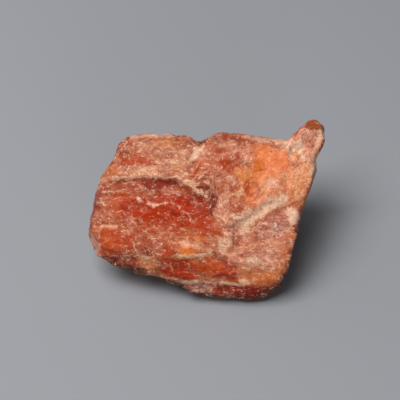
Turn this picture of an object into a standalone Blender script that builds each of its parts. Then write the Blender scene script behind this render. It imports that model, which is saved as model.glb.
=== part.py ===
"""A rough piece of triplite: one solid stone with cleavage ledges, chips and a short spur.

The stone is drawn on a page that faces a viewer who looks down on it. A point on a page is
(right, up, towards the viewer), in millimetres. Its far side is given in the row frame, as (x, y, z).
"""

import math

import bmesh
import bpy
import numpy as np
from mathutils import Vector, noise

MM = 0.001

# Driving dimensions, in millimetres and degrees: the stone is 34 long, 21.6 deep and 16.4 high
PAGE_HEIGHT = 8.6
FRONT_ELEVATION = 48.0
BACK_ELEVATION = 20.0
REST_HEIGHT = 0.0

# Fineness of the surface
VOXEL = 0.42
TRIANGLES = 8600

# Corners of the outline on the front page, clockwise from the top left
OUTLINE_CORNERS = (
    (-12.1, 10.6, -1.4),
    (-10.2, 11.8, -2.2),
    (-4.6, 12.1, -2.5),
    (-2.5, 11.5, -2.5),
    (4.6, 12.7, -2.8),
    (8.8, 11.9, -2.8),
    (13.2, 11.1, -3.2),
    (15.8, 8.0, -2.8),
    (15.1, 3.9, -2.0),
    (12.8, -0.3, -1.0),
    (12.5, -4.9, -0.2),
    (11.8, -7.5, 0.2),
    (10.6, -10.0, 0.3),
    (8.4, -11.7, 0.2),
    (6.0, -12.0, 0.2),
    (-0.3, -11.3, 0.6),
    (-3.2, -9.7, 1.0),
    (-13.5, -7.1, 0.8),
    (-15.9, -5.3, 0.4),
    (-16.9, -2.6, 0.0),
    (-16.5, -0.3, 0.0),
    (-15.3, 4.9, 0.2),
    (-13.3, 7.9, -0.6),
)

# Corners inside that outline, where the faces on the near side meet
NEAR_CORNERS = (
    (-15.3, 4.0, 1.6),
    (-16.2, -1.6, 2.0),
    (-15.2, -4.6, 2.0),
    (-13.2, 5.4, 2.6),
    (-5.4, 5.9, 4.2),
    (0.6, 4.0, 5.2),
    (3.6, -0.8, 5.8),
    (12.6, 1.8, 3.2),
    (14.2, 4.6, 1.6),
    (14.6, 7.4, 0.4),
    (12.3, -0.6, 3.4),
    (11.9, -4.6, 3.2),
    (11.0, -7.4, 2.9),
    (9.6, -9.6, 2.4),
    (-13.4, -4.6, 3.2),
    (-4.6, -6.0, 4.5),
    (4.0, -8.6, 3.8),
    (6.4, -10.6, 2.4),
    (12.0, 8.8, 0.0),
    (-8.6, 9.8, 0.9),
    (3.4, 10.2, 0.6),
)

# Corners of the far side and the underside, in the row frame
FAR_CORNERS = (
    (-7.0, -2.2, -0.5),
    (-2.6, -5.4, -0.5),
    (6.2, -6.0, -0.5),
    (8.8, -2.0, -0.5),
    (6.6, 3.6, -0.5),
    (-4.4, 4.2, -0.5),
    (-15.3, 3.6, 8.6),
    (-16.3, -0.5, 5.6),
    (-14.2, -2.4, 3.2),
    (-12.6, 4.0, 3.6),
    (-13.6, 8.2, 9.4),
    (-9.6, 10.4, 9.6),
    (-10.8, 8.0, 4.2),
    (-2.6, 9.2, 3.0),
    (8.6, 9.0, 3.2),
    (8.8, 11.6, 8.2),
    (14.8, 10.2, 9.4),
    (15.2, 8.0, 8.4),
    (13.5, 5.2, 4.8),
    (12.1, -1.4, 2.6),
)

# The spur at the right of the far edge, on the front page
SPUR_CORNERS = (
    (10.9, 9.8, -5.0),
    (11.3, 9.6, 0.0),
    (12.3, 11.5, -0.9),
    (12.2, 11.4, -4.4),
    (14.2, 13.1, -1.4),
    (14.3, 13.0, -3.6),
    (15.4, 13.8, -2.2),
    (16.5, 13.5, -1.7),
    (16.3, 13.4, -3.8),
    (17.1, 12.4, -2.2),
    (17.1, 11.0, -1.8),
    (16.8, 11.6, -3.8),
    (16.5, 9.3, -1.3),
    (16.0, 7.4, -1.0),
    (15.9, 7.8, -5.0),
    (13.4, 6.4, -0.2),
    (13.2, 6.0, -5.0),
)

# The wedge that is missing from the far edge, between the left slab and the right block
NOTCH_CORNERS = (
    (-5.6, 12.5, -1.0),
    (2.2, 12.8, -1.0),
    (-1.0, 10.9, -0.6),
    (-0.9, 10.3, -3.0),
    (-5.0, 12.6, -7.0),
    (1.8, 12.8, -7.0),
    (-0.8, 10.7, -7.0),
)

# The shallow hollow in the lower edge, left of the hem
LOWER_HOLLOW_CORNERS = (
    (-9.6, -8.2, 6.0),
    (-5.9, -8.8, 6.0),
    (-3.0, -10.0, 6.0),
    (-0.4, -11.4, 6.0),
    (-0.4, -14.0, 6.0),
    (-9.6, -14.0, 6.0),
    (-9.6, -8.2, -2.0),
    (-5.9, -8.8, -2.0),
    (-3.0, -10.0, -2.0),
    (-0.4, -11.4, -2.0),
    (-0.4, -14.0, -2.0),
    (-9.6, -14.0, -2.0),
)

# Ledges on a page: the line of each lip, the side on which the ground drops as the line is walked,
# how far it drops, the width of the wall as drawn, and the width over which the ground climbs back
FRONT_LEDGES = {
    "slab_lip": (
        ((-16.5, 4.0), (-14.3, 5.2), (-10.4, 5.7), (-8.2, 5.8), (-5.0, 5.5), (-2.9, 4.6), (0.9, 1.8)),
        "right", 1.3, 0.85, 3.8,
    ),
    "middle_lip": (
        ((-16.6, 3.4), (-12.7, 3.3), (-10.4, 3.0), (-9.4, 2.0), (-7.4, 1.3), (-5.2, 1.5)),
        "right", 0.45, 0.25, 2.6,
    ),
    "inner_lip": (
        ((-9.4, 3.0), (-7.0, 3.0), (-4.5, 3.0), (-2.5, 2.3), (-1.2, 1.4)),
        "right", 0.4, 0.25, 1.6,
    ),
    "block_edge": (
        ((0.8, 12.4), (0.1, 10.1), (-0.4, 8.4), (-1.1, 7.2), (-1.7, 6.4), (-2.4, 5.5)),
        "right", 0.95, 0.35, 3.6,
    ),
    "right_ridge": (
        ((2.6, -1.6), (4.2, -0.9), (5.5, -0.2), (6.9, 0.8), (8.2, 1.7), (9.6, 2.2), (11.6, 2.1), (13.8, 2.6)),
        "right", 0.8, 0.45, 3.8,
    ),
    "band_lip": (
        ((4.2, -1.6), (5.4, -3.0), (6.2, -1.3), (8.2, 0.1), (10.6, 1.4)),
        "right", 0.45, 0.25, 1.8,
    ),
    "valley_wall": (
        ((3.4, -2.2), (2.4, -0.6), (1.2, 0.8), (0.6, 2.4), (1.4, 4.0), (3.2, 5.4), (5.6, 7.4), (6.2, 9.6)),
        "left", 0.55, 0.5, 2.2,
    ),
    "groove_lip": (
        ((2.8, 2.4), (4.5, 3.2), (5.4, 4.1), (6.0, 5.0)),
        "right", 0.5, 0.25, 1.5,
    ),
    "lens_lip": (
        ((-6.6, -5.7), (-4.3, -5.6), (-1.8, -5.75), (0.6, -5.1), (2.6, -5.6), (5.4, -7.3), (8.4, -8.6)),
        "right", 0.6, 0.4, 2.6,
    ),
    "lens_top": (
        ((-5.2, -3.0), (-2.8, -3.3), (-1.2, -3.9), (0.6, -4.9)),
        "right", 0.45, 0.25, 1.6,
    ),
    "left_block_foot": (
        ((-16.4, -5.2), (-14.8, -5.7), (-12.7, -5.7), (-10.4, -5.5), (-7.3, -5.6)),
        "right", 0.6, 0.35, 2.0,
    ),
    "left_block_top": (
        ((-16.8, -1.8), (-14.8, -1.8), (-12.2, -1.9), (-10.4, -2.6), (-10.1, -4.4)),
        "left", 0.4, 0.25, 1.6,
    ),
    "hem": (
        ((-6.5, -9.2), (-2.7, -9.3), (0.8, -9.3), (4.2, -9.5), (7.8, -9.7), (10.6, -8.9)),
        "right", 0.45, 0.5, 2.4,
    ),
    "right_strip": (
        ((12.0, 11.0), (11.7, 7.6), (10.9, 5.2), (10.2, 3.4)),
        "left", 0.35, 0.25, 1.8,
    ),
    "spur_foot": (
        ((13.2, 8.6), (14.4, 7.7), (16.4, 7.0)),
        "right", 0.45, 0.25, 1.6,
    ),
}

BACK_LEDGES = {
    "back_slab": (
        ((-17.0, 2.4), (-11.0, 3.2), (-6.0, 2.6), (-1.0, 3.6), (3.0, 3.0)),
        "right", 0.9, 0.25, 4.2,
    ),
    "back_block": (
        ((3.6, 9.0), (3.0, 4.0), (4.4, 0.4), (3.6, -4.2)),
        "left", 0.8, 0.25, 4.0,
    ),
    "back_low": (
        ((-14.0, -2.6), (-8.0, -2.0), (-3.4, -3.2), (1.2, -3.0)),
        "right", 0.7, 0.25, 3.0,
    ),
    "back_rise": (
        ((5.0, -0.6), (9.0, 0.4), (12.6, -0.6), (16.0, 0.4)),
        "right", 0.7, 0.25, 3.2,
    ),
}

# Dish-shaped chips on a page: centre, half length, half width, turn in degrees, depth
FRONT_CHIPS = {
    "dark_pit": ((3.9, -1.9), 0.9, 0.55, -60.0, 0.5),
    "junction_chip": ((-0.6, 4.1), 1.7, 0.8, -35.0, 0.45),
    "orange_dish": ((8.6, 6.6), 3.6, 2.4, 40.0, 0.25),
    "corner_chip": ((-13.0, 8.9), 1.8, 1.0, 55.0, 0.35),
    "lower_right_dish": ((8.4, -3.2), 2.6, 1.7, 20.0, 0.2),
    "red_dish": ((-6.0, -0.8), 4.2, 1.6, -6.0, 0.2),
    "low_dish": ((-1.6, -7.4), 3.6, 1.2, -12.0, 0.3),
}
BACK_CHIPS = {
    "back_scoop": ((-6.0, 6.4), 3.4, 1.8, 15.0, 0.6),
    "back_dish": ((9.0, -4.6), 2.8, 1.8, -30.0, 0.55),
    "back_nick": ((-11.0, -0.2), 1.6, 1.1, 60.0, 0.5),
}

# How ledges and chips are cut: shares of their own size
CHIP_RIM = 0.25
CHIP_BOWL = 0.45
LIP_RISE = 0.12
END_SHARE = 0.14
# How far their lines stray from the drawing, and how long the strays are
STRAY = 0.28
STRAY_SIZE = 1.7
# A page's relief fades out where the surface turns away from the viewer
FADE_START = -0.05
FADE_SPAN = 0.35

# Cleavage steps all over: the layers' direction on the front page, their thickness and their step
LEFT_CLEAVAGE = (0.16, 0.90, 0.40)
RIGHT_CLEAVAGE = (0.52, -0.72, 0.46)
LAYER = 1.9
STEP_HEIGHT = 0.34
RISER_SHARE = 0.2
STEP_MIDDLE = 0.35
# The layers waver by this share of a layer, and show in patches
WAVER = 0.5
WAVER_SIZE = 6.0
PATCH_SIZE = 7.0
PATCH_CONTRAST = 1.4
# The right block, where the layers run the other way: its left and lower limits on the front page
RIGHT_BLOCK = (1.0, -2.0)
RIGHT_BLOCK_BLEND = (4.0, 3.0)

LUMP_SIZE = 4.5
LUMP_HEIGHT = 0.2

# Noise: how fast finer detail fades, and how much finer each octave is
NOISE_FADE = 0.8
NOISE_STEP = 2.0

STONE_COLOUR = (0.53, 0.16, 0.08, 1.0)
STONE_ROUGHNESS = 0.5


class Page:
    """A drawing page that faces a viewer at this azimuth and elevation."""

    def __init__(self, azimuth, elevation):
        turn, lift = math.radians(azimuth), math.radians(elevation)
        near = Vector(
            (math.sin(turn) * math.cos(lift), -math.cos(turn) * math.cos(lift), math.sin(lift))
        )
        right = Vector((math.cos(turn), math.sin(turn), 0.0))
        self.axes = np.array([right, near.cross(right), near])
        self.centre = np.array([0.0, 0.0, PAGE_HEIGHT])

    def to_row(self, points):
        return np.asarray(points, float) @ self.axes + self.centre

    def from_row(self, points):
        return (points - self.centre) @ self.axes.T

    def facing(self, normals):
        """How squarely each normal faces the viewer, from 0 at the outline to 1."""
        return smooth((normals @ self.axes[2] - FADE_START) / FADE_SPAN)


FRONT = Page(0.0, FRONT_ELEVATION)
BACK = Page(180.0, BACK_ELEVATION)


def smooth(share):
    share = np.clip(share, 0.0, 1.0)
    return share * share * (3.0 - 2.0 * share)


def clear_scene():
    for obj in list(bpy.data.objects):
        bpy.data.objects.remove(obj)


def collection(name):
    made = bpy.data.collections.new(name)
    bpy.context.scene.collection.children.link(made)
    return made


def lump(name, corners, into):
    """The solid whose corners are the outermost of these points, in the row frame and millimetres."""
    shape = bmesh.new()
    for corner in corners:
        shape.verts.new(Vector(corner) * MM)
    hull = bmesh.ops.convex_hull(shape, input=shape.verts)
    inside = {v for v in hull["geom_interior"] + hull["geom_unused"] if isinstance(v, bmesh.types.BMVert)}
    bmesh.ops.delete(shape, geom=list(inside), context="VERTS")
    bmesh.ops.recalc_face_normals(shape, faces=shape.faces)
    mesh = bpy.data.meshes.new(name)
    shape.to_mesh(mesh)
    shape.free()
    made = bpy.data.objects.new(name, mesh)
    into.objects.link(made)
    return made


def cutter(name, corners, into):
    made = lump(name, corners, into)
    made.hide_render = True
    made.display_type = "WIRE"
    return made


def boolean(obj, operation, other):
    made = obj.modifiers.new(other.name, "BOOLEAN")
    made.operation = operation
    made.object = other


def freeze(obj):
    """Replaces the object's mesh with its evaluated one."""
    bpy.context.view_layer.update()
    graph = bpy.context.evaluated_depsgraph_get()
    made = bpy.data.meshes.new_from_object(obj.evaluated_get(graph))
    obj.modifiers.clear()
    obj.data = made


def vertices_of(mesh):
    """Places in millimetres, and normals, as arrays."""
    places = np.empty(len(mesh.vertices) * 3, np.float32)
    normals = np.empty(len(mesh.vertices) * 3, np.float32)
    mesh.vertices.foreach_get("co", places)
    mesh.vertex_normals.foreach_get("vector", normals)
    return places.reshape(-1, 3).astype(float) / MM, normals.reshape(-1, 3).astype(float)


def move_vertices(mesh, places):
    mesh.vertices.foreach_set("co", (places * MM).astype(np.float32).ravel())
    mesh.update()


def noise_at(places, size, offset=0.0, octaves=3):
    """Smooth noise from about -1 to 1, with features of this size in millimetres."""
    shift = Vector((offset, 2.0 * offset, -offset))
    return np.array(
        [noise.fractal(Vector(p) / size + shift, NOISE_FADE, NOISE_STEP, octaves) for p in places]
    )


def beside(points, line):
    """For each point on a page: its distance to the line and how far along it is, from 0 to 1.

    The distance is above 0 on the left as the line is walked.
    """
    line = np.asarray(line, float)
    spans = np.diff(line, axis=0)
    lengths = np.linalg.norm(spans, axis=1)
    starts = np.concatenate([[0.0], np.cumsum(lengths)])
    nearest = np.full(len(points), np.inf)
    signed = np.zeros(len(points))
    along = np.zeros(len(points))
    for start, span, length, before in zip(line[:-1], spans, lengths, starts):
        away = points - start
        share = np.clip(away @ span / length**2, 0.0, 1.0)
        gap = away - share[:, None] * span
        distance = np.linalg.norm(gap, axis=1)
        side = np.sign(span[0] * away[:, 1] - span[1] * away[:, 0])
        closer = distance < nearest
        nearest = np.where(closer, distance, nearest)
        signed = np.where(closer, side * distance, signed)
        along = np.where(closer, (before + share * length) / starts[-1], along)
    return signed, along


def ledge(points, line, lower_side, drop, wall_width, reach):
    """The height that a ledge adds at each point: a lip, a drop beside it, and a slow climb back."""
    distance, along = beside(points, line)
    if lower_side == "left":
        distance = -distance
    below = np.clip(-distance / reach, 0.0, 1.0)
    wall = smooth(-distance / wall_width)
    fall = -drop * wall * (1.0 - below) ** 2
    lip = LIP_RISE * drop * np.exp(-np.clip(distance, 0.0, None)) * (1.0 - wall)
    ends = smooth(along / END_SHARE) * smooth((1.0 - along) / END_SHARE)
    return (fall + lip) * ends


def chip(points, centre, half_length, half_width, turn, depth):
    """The height that a dish-shaped chip takes away at each point, with a crisp rim."""
    angle = math.radians(turn)
    away = points - np.asarray(centre)
    across = away @ np.array([math.cos(angle), math.sin(angle)]) / half_length
    up = away @ np.array([-math.sin(angle), math.cos(angle)]) / half_width
    radius = np.hypot(across, up)
    bowl = 1.0 - CHIP_BOWL * np.clip(radius, 0.0, 1.0) ** 2
    return -depth * smooth((1.0 - radius) / CHIP_RIM) * bowl


def relief(places, normals, page, ledges, chips):
    """Moves the side that faces the page in and out, along the line of sight."""
    drawn = page.from_row(places)
    points = drawn[:, :2].copy()
    points[:, 0] += STRAY * noise_at(places, STRAY_SIZE, 3.0)
    points[:, 1] += STRAY * noise_at(places, STRAY_SIZE, 11.0)
    height = np.zeros(len(points))
    for values in ledges.values():
        height += ledge(points, *values)
    for values in chips.values():
        height += chip(points, *values)
    return places + (height * page.facing(normals))[:, None] * page.axes[2]


def cleavage_steps(places, normals):
    """Moves the surface in and out in thin layers, as the crystal splits along its cleavage."""
    drawn = FRONT.from_row(places)
    inside = (drawn[:, :2] - RIGHT_BLOCK) / RIGHT_BLOCK_BLEND
    right_share = smooth(inside[:, 0]) * smooth(inside[:, 1])
    waver = noise_at(places, WAVER_SIZE, 7.0)
    patches = smooth(0.5 + PATCH_CONTRAST * noise_at(places, PATCH_SIZE, 19.0, 2))
    height = np.zeros(len(places))
    for direction, share in ((LEFT_CLEAVAGE, 1.0 - right_share), (RIGHT_CLEAVAGE, right_share)):
        layer = drawn @ np.asarray(direction) / LAYER + WAVER * waver
        within = layer - np.floor(layer)
        step = smooth(within / RISER_SHARE) * (1.0 - within) - STEP_MIDDLE
        height += share * STEP_HEIGHT * step
    return places + (height * patches)[:, None] * normals


def lumps_all_over(places, normals):
    height = LUMP_HEIGHT * noise_at(places, LUMP_SIZE, 1.0, 4)
    return places + height[:, None] * normals


def roughen(obj):
    """Draws the ledges, chips, layers and lumps into the surface."""
    for shape in (
        lumps_all_over,
        cleavage_steps,
        lambda places, normals: relief(places, normals, FRONT, FRONT_LEDGES, FRONT_CHIPS),
        lambda places, normals: relief(places, normals, BACK, BACK_LEDGES, BACK_CHIPS),
    ):
        move_vertices(obj.data, shape(*vertices_of(obj.data)))


def remesh(obj, voxel):
    made = obj.modifiers.new("even mesh", "REMESH")
    made.mode = "VOXEL"
    made.voxel_size = voxel * MM
    made.adaptivity = 0.0
    freeze(obj)


def thin_out(obj, triangles):
    faces = sum(len(face.vertices) - 2 for face in obj.data.polygons)
    made = obj.modifiers.new("thin out", "DECIMATE")
    made.ratio = triangles / faces
    made.use_collapse_triangulate = True
    freeze(obj)


def cut_rest_face(obj):
    """Cuts the underside flat at the height where the stone rests, and closes the cut with one face."""
    shape = bmesh.new()
    shape.from_mesh(obj.data)
    cut = bmesh.ops.bisect_plane(
        shape,
        geom=shape.verts[:] + shape.edges[:] + shape.faces[:],
        dist=1e-7,
        plane_co=(0.0, 0.0, REST_HEIGHT * MM),
        plane_no=(0.0, 0.0, -1.0),
        clear_outer=True,
    )
    rim = [edge for edge in cut["geom_cut"] if isinstance(edge, bmesh.types.BMEdge)]
    bmesh.ops.holes_fill(shape, edges=rim, sides=0)
    bmesh.ops.triangulate(shape, faces=shape.faces)
    bmesh.ops.recalc_face_normals(shape, faces=shape.faces)
    shape.to_mesh(obj.data)
    shape.free()


def centre_on_origin(obj):
    """Puts the middle of the stone's box over the origin, and its flat spot at height 0."""
    places, _ = vertices_of(obj.data)
    low, high = places.min(axis=0), places.max(axis=0)
    shift = np.array([-(low[0] + high[0]) / 2, -(low[1] + high[1]) / 2, -low[2]])
    move_vertices(obj.data, places + shift)
    print("page centre, mm:", np.round(FRONT.centre + shift, 3))
    print("size, mm:", np.round(high - low, 2))


def stone_material():
    made = bpy.data.materials.new("triplite")
    made.use_nodes = True
    shader = made.node_tree.nodes["Principled BSDF"]
    shader.inputs["Base Color"].default_value = STONE_COLOUR
    shader.inputs["Roughness"].default_value = STONE_ROUGHNESS
    shader.inputs["Metallic"].default_value = 0.0
    return made


def build_stone(into, cutters):
    front = FRONT.to_row(OUTLINE_CORNERS + NEAR_CORNERS)
    stone = lump("stone", np.concatenate([front, FAR_CORNERS]), into)
    spur = cutter("spur", FRONT.to_row(SPUR_CORNERS), cutters)
    notch = cutter("notch", FRONT.to_row(NOTCH_CORNERS), cutters)
    hollow = cutter("hollow", FRONT.to_row(LOWER_HOLLOW_CORNERS), cutters)
    boolean(stone, "UNION", spur)
    boolean(stone, "DIFFERENCE", notch)
    boolean(stone, "DIFFERENCE", hollow)
    freeze(stone)
    remesh(stone, VOXEL)
    roughen(stone)
    thin_out(stone, TRIANGLES)
    cut_rest_face(stone)
    centre_on_origin(stone)
    stone.data.materials.clear()
    stone.data.materials.append(stone_material())
    return stone


def main():
    clear_scene()
    stones = collection("triplite")
    cutters = collection("cutters")
    build_stone(stones, cutters)


main()
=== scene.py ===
"""Rough triplite: the fine surface and finish of the stone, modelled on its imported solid.

The stone is drawn on a page that faces a viewer who looks down on it from the front. A point on the
page is (right, up, towards the viewer), in millimetres. Patches of colour, veins and ledges are named
shapes on that page. The sides that face away from it get ledges, layers and patches of the same kind
and size from noise.
"""

import itertools
import math

import bmesh
import bpy
import numpy as np
from mathutils import Matrix, Vector, noise


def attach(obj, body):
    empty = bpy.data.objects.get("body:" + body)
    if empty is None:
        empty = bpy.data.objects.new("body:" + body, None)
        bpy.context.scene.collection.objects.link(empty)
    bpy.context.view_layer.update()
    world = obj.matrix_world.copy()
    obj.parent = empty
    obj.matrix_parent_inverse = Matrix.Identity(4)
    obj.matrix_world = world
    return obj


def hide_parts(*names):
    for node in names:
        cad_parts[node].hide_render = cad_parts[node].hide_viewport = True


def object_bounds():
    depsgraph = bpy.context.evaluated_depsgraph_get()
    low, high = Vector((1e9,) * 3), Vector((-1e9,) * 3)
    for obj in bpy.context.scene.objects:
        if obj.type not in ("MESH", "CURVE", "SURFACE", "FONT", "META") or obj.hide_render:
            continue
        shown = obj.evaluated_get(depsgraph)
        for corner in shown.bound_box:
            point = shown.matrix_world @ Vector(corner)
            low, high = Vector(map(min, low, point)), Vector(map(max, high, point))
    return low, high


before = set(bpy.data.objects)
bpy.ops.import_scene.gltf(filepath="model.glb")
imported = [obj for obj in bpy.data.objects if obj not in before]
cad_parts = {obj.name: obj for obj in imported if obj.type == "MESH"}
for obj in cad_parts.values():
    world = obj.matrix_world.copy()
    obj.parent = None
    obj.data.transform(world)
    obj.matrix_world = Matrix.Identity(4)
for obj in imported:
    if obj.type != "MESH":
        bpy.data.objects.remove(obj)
cad_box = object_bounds()

MM = 0.001

# The page: where its middle is in the row frame, and how high above the horizon its viewer stands
PAGE_MIDDLE = np.array((-0.187, -1.431, 8.6))
VIEW_ELEVATION = math.radians(48.0)
RIGHT = np.array((1.0, 0.0, 0.0))
UP = np.array((0.0, math.sin(VIEW_ELEVATION), math.cos(VIEW_ELEVATION)))
NEAR = np.array((0.0, -math.cos(VIEW_ELEVATION), math.sin(VIEW_ELEVATION)))
PAGE_AXES = np.array((RIGHT, UP, NEAR))

# The picture: how large a millimetre of the page is in it, in pixels, and where the page's middle falls
PICTURE_PIXELS = 400.0
PIXELS_PER_MM = 7.0
MIDDLE_PIXEL = (206.0, 216.0)
LENS = 150.0
SENSOR = 36.0

# Fineness of the surface: the size of its mesh in millimetres, and the rounds that smooth it
VOXEL = 0.167
SMOOTHING = 8
# Relief is measured from a levelled surface: after a few rounds it shows fine ridges, after many broad ones
FINE_RELIEF_ROUNDS = 3
BROAD_RELIEF_ROUNDS = 23

# The ledges' lines stray from the drawing by this much, over this length, as they do on the solid
STRAY = 0.28
STRAY_SIZE = 1.7
# Patches and veins stray a little more, over a short length
FINE_STRAY = 0.11
FINE_STRAY_SIZE = 0.5

# How far past the stone's outline the drawing's shapes and its colours reach, and how they fade there
SHAPED_PAST_EDGE = 0.05
PAINTED_PAST_EDGE = 0.3
PAST_EDGE_STRAY = 0.3
EDGE_FADE = 0.3

# Pigments: colour as seen in even light, from 0 to 255, then how sugary and how glassy each is
PIGMENTS = {
    "salmon": (177, 109, 82, 0.9, 0.2),
    "salmon_light": (202, 127, 98, 0.9, 0.2),
    "brick": (159, 80, 53, 0.9, 0.2),
    "rust_red": (170, 65, 31, 0.4, 0.6),
    "ochre": (192, 107, 63, 0.4, 0.5),
    "peach": (200, 138, 108, 0.8, 0.2),
    "tan": (203, 130, 86, 0.7, 0.3),
    "umber": (154, 74, 48, 0.6, 0.4),
    "cream_pink": (220, 166, 142, 0.6, 0.1),
    "pale_pink": (230, 188, 162, 0.5, 0.1),
    "maroon": (144, 46, 32, 0.5, 0.5),
    "plum": (118, 42, 28, 0.5, 0.3),
    "mauve_pink": (180, 110, 88, 0.9, 0.2),
    "rust": (160, 64, 30, 0.4, 0.6),
    "deep_red": (160, 48, 15, 0.27, 0.8),
    "vivid_red": (166, 44, 8, 0.1, 0.9),
    "dark_red": (146, 40, 18, 0.35, 0.7),
    "orange_pink": (170, 88, 58, 0.6, 0.5),
    "mauve": (140, 74, 64, 0.8, 0.2),
    "burnt_orange": (172, 70, 30, 0.2, 0.9),
    "cream_yellow": (226, 173, 126, 0.4, 0.3),
    "amber": (202, 105, 42, 0.2, 0.8),
    "grey_mauve": (178, 120, 111, 1.3, 0.1),
    "crimson": (170, 84, 70, 0.7, 0.4),
    "cream": (220, 170, 138, 0.6, 0.1),
    "cream_grey": (220, 176, 146, 0.6, 0.1),
    "dusty_red": (186, 103, 76, 0.9, 0.3),
    "orange": (228, 132, 84, 0.15, 0.8),
    "peach_light": (222, 150, 110, 0.7, 0.3),
    "sugar_pink": (208, 145, 120, 1.1, 0.2),
    "plum_grey": (150, 96, 88, 1.3, 0.1),
    # Painted shade for the lower and right rims, which turn away from the lamps
    "shade": (84, 34, 26, 0.5, 0.2),
    "tip_brown": (150, 76, 40, 0.15, 0.7),
    "garnet": (124, 40, 22, 0.15, 0.4),
    "honey": (216, 134, 80, 0.2, 0.7),
}

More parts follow.
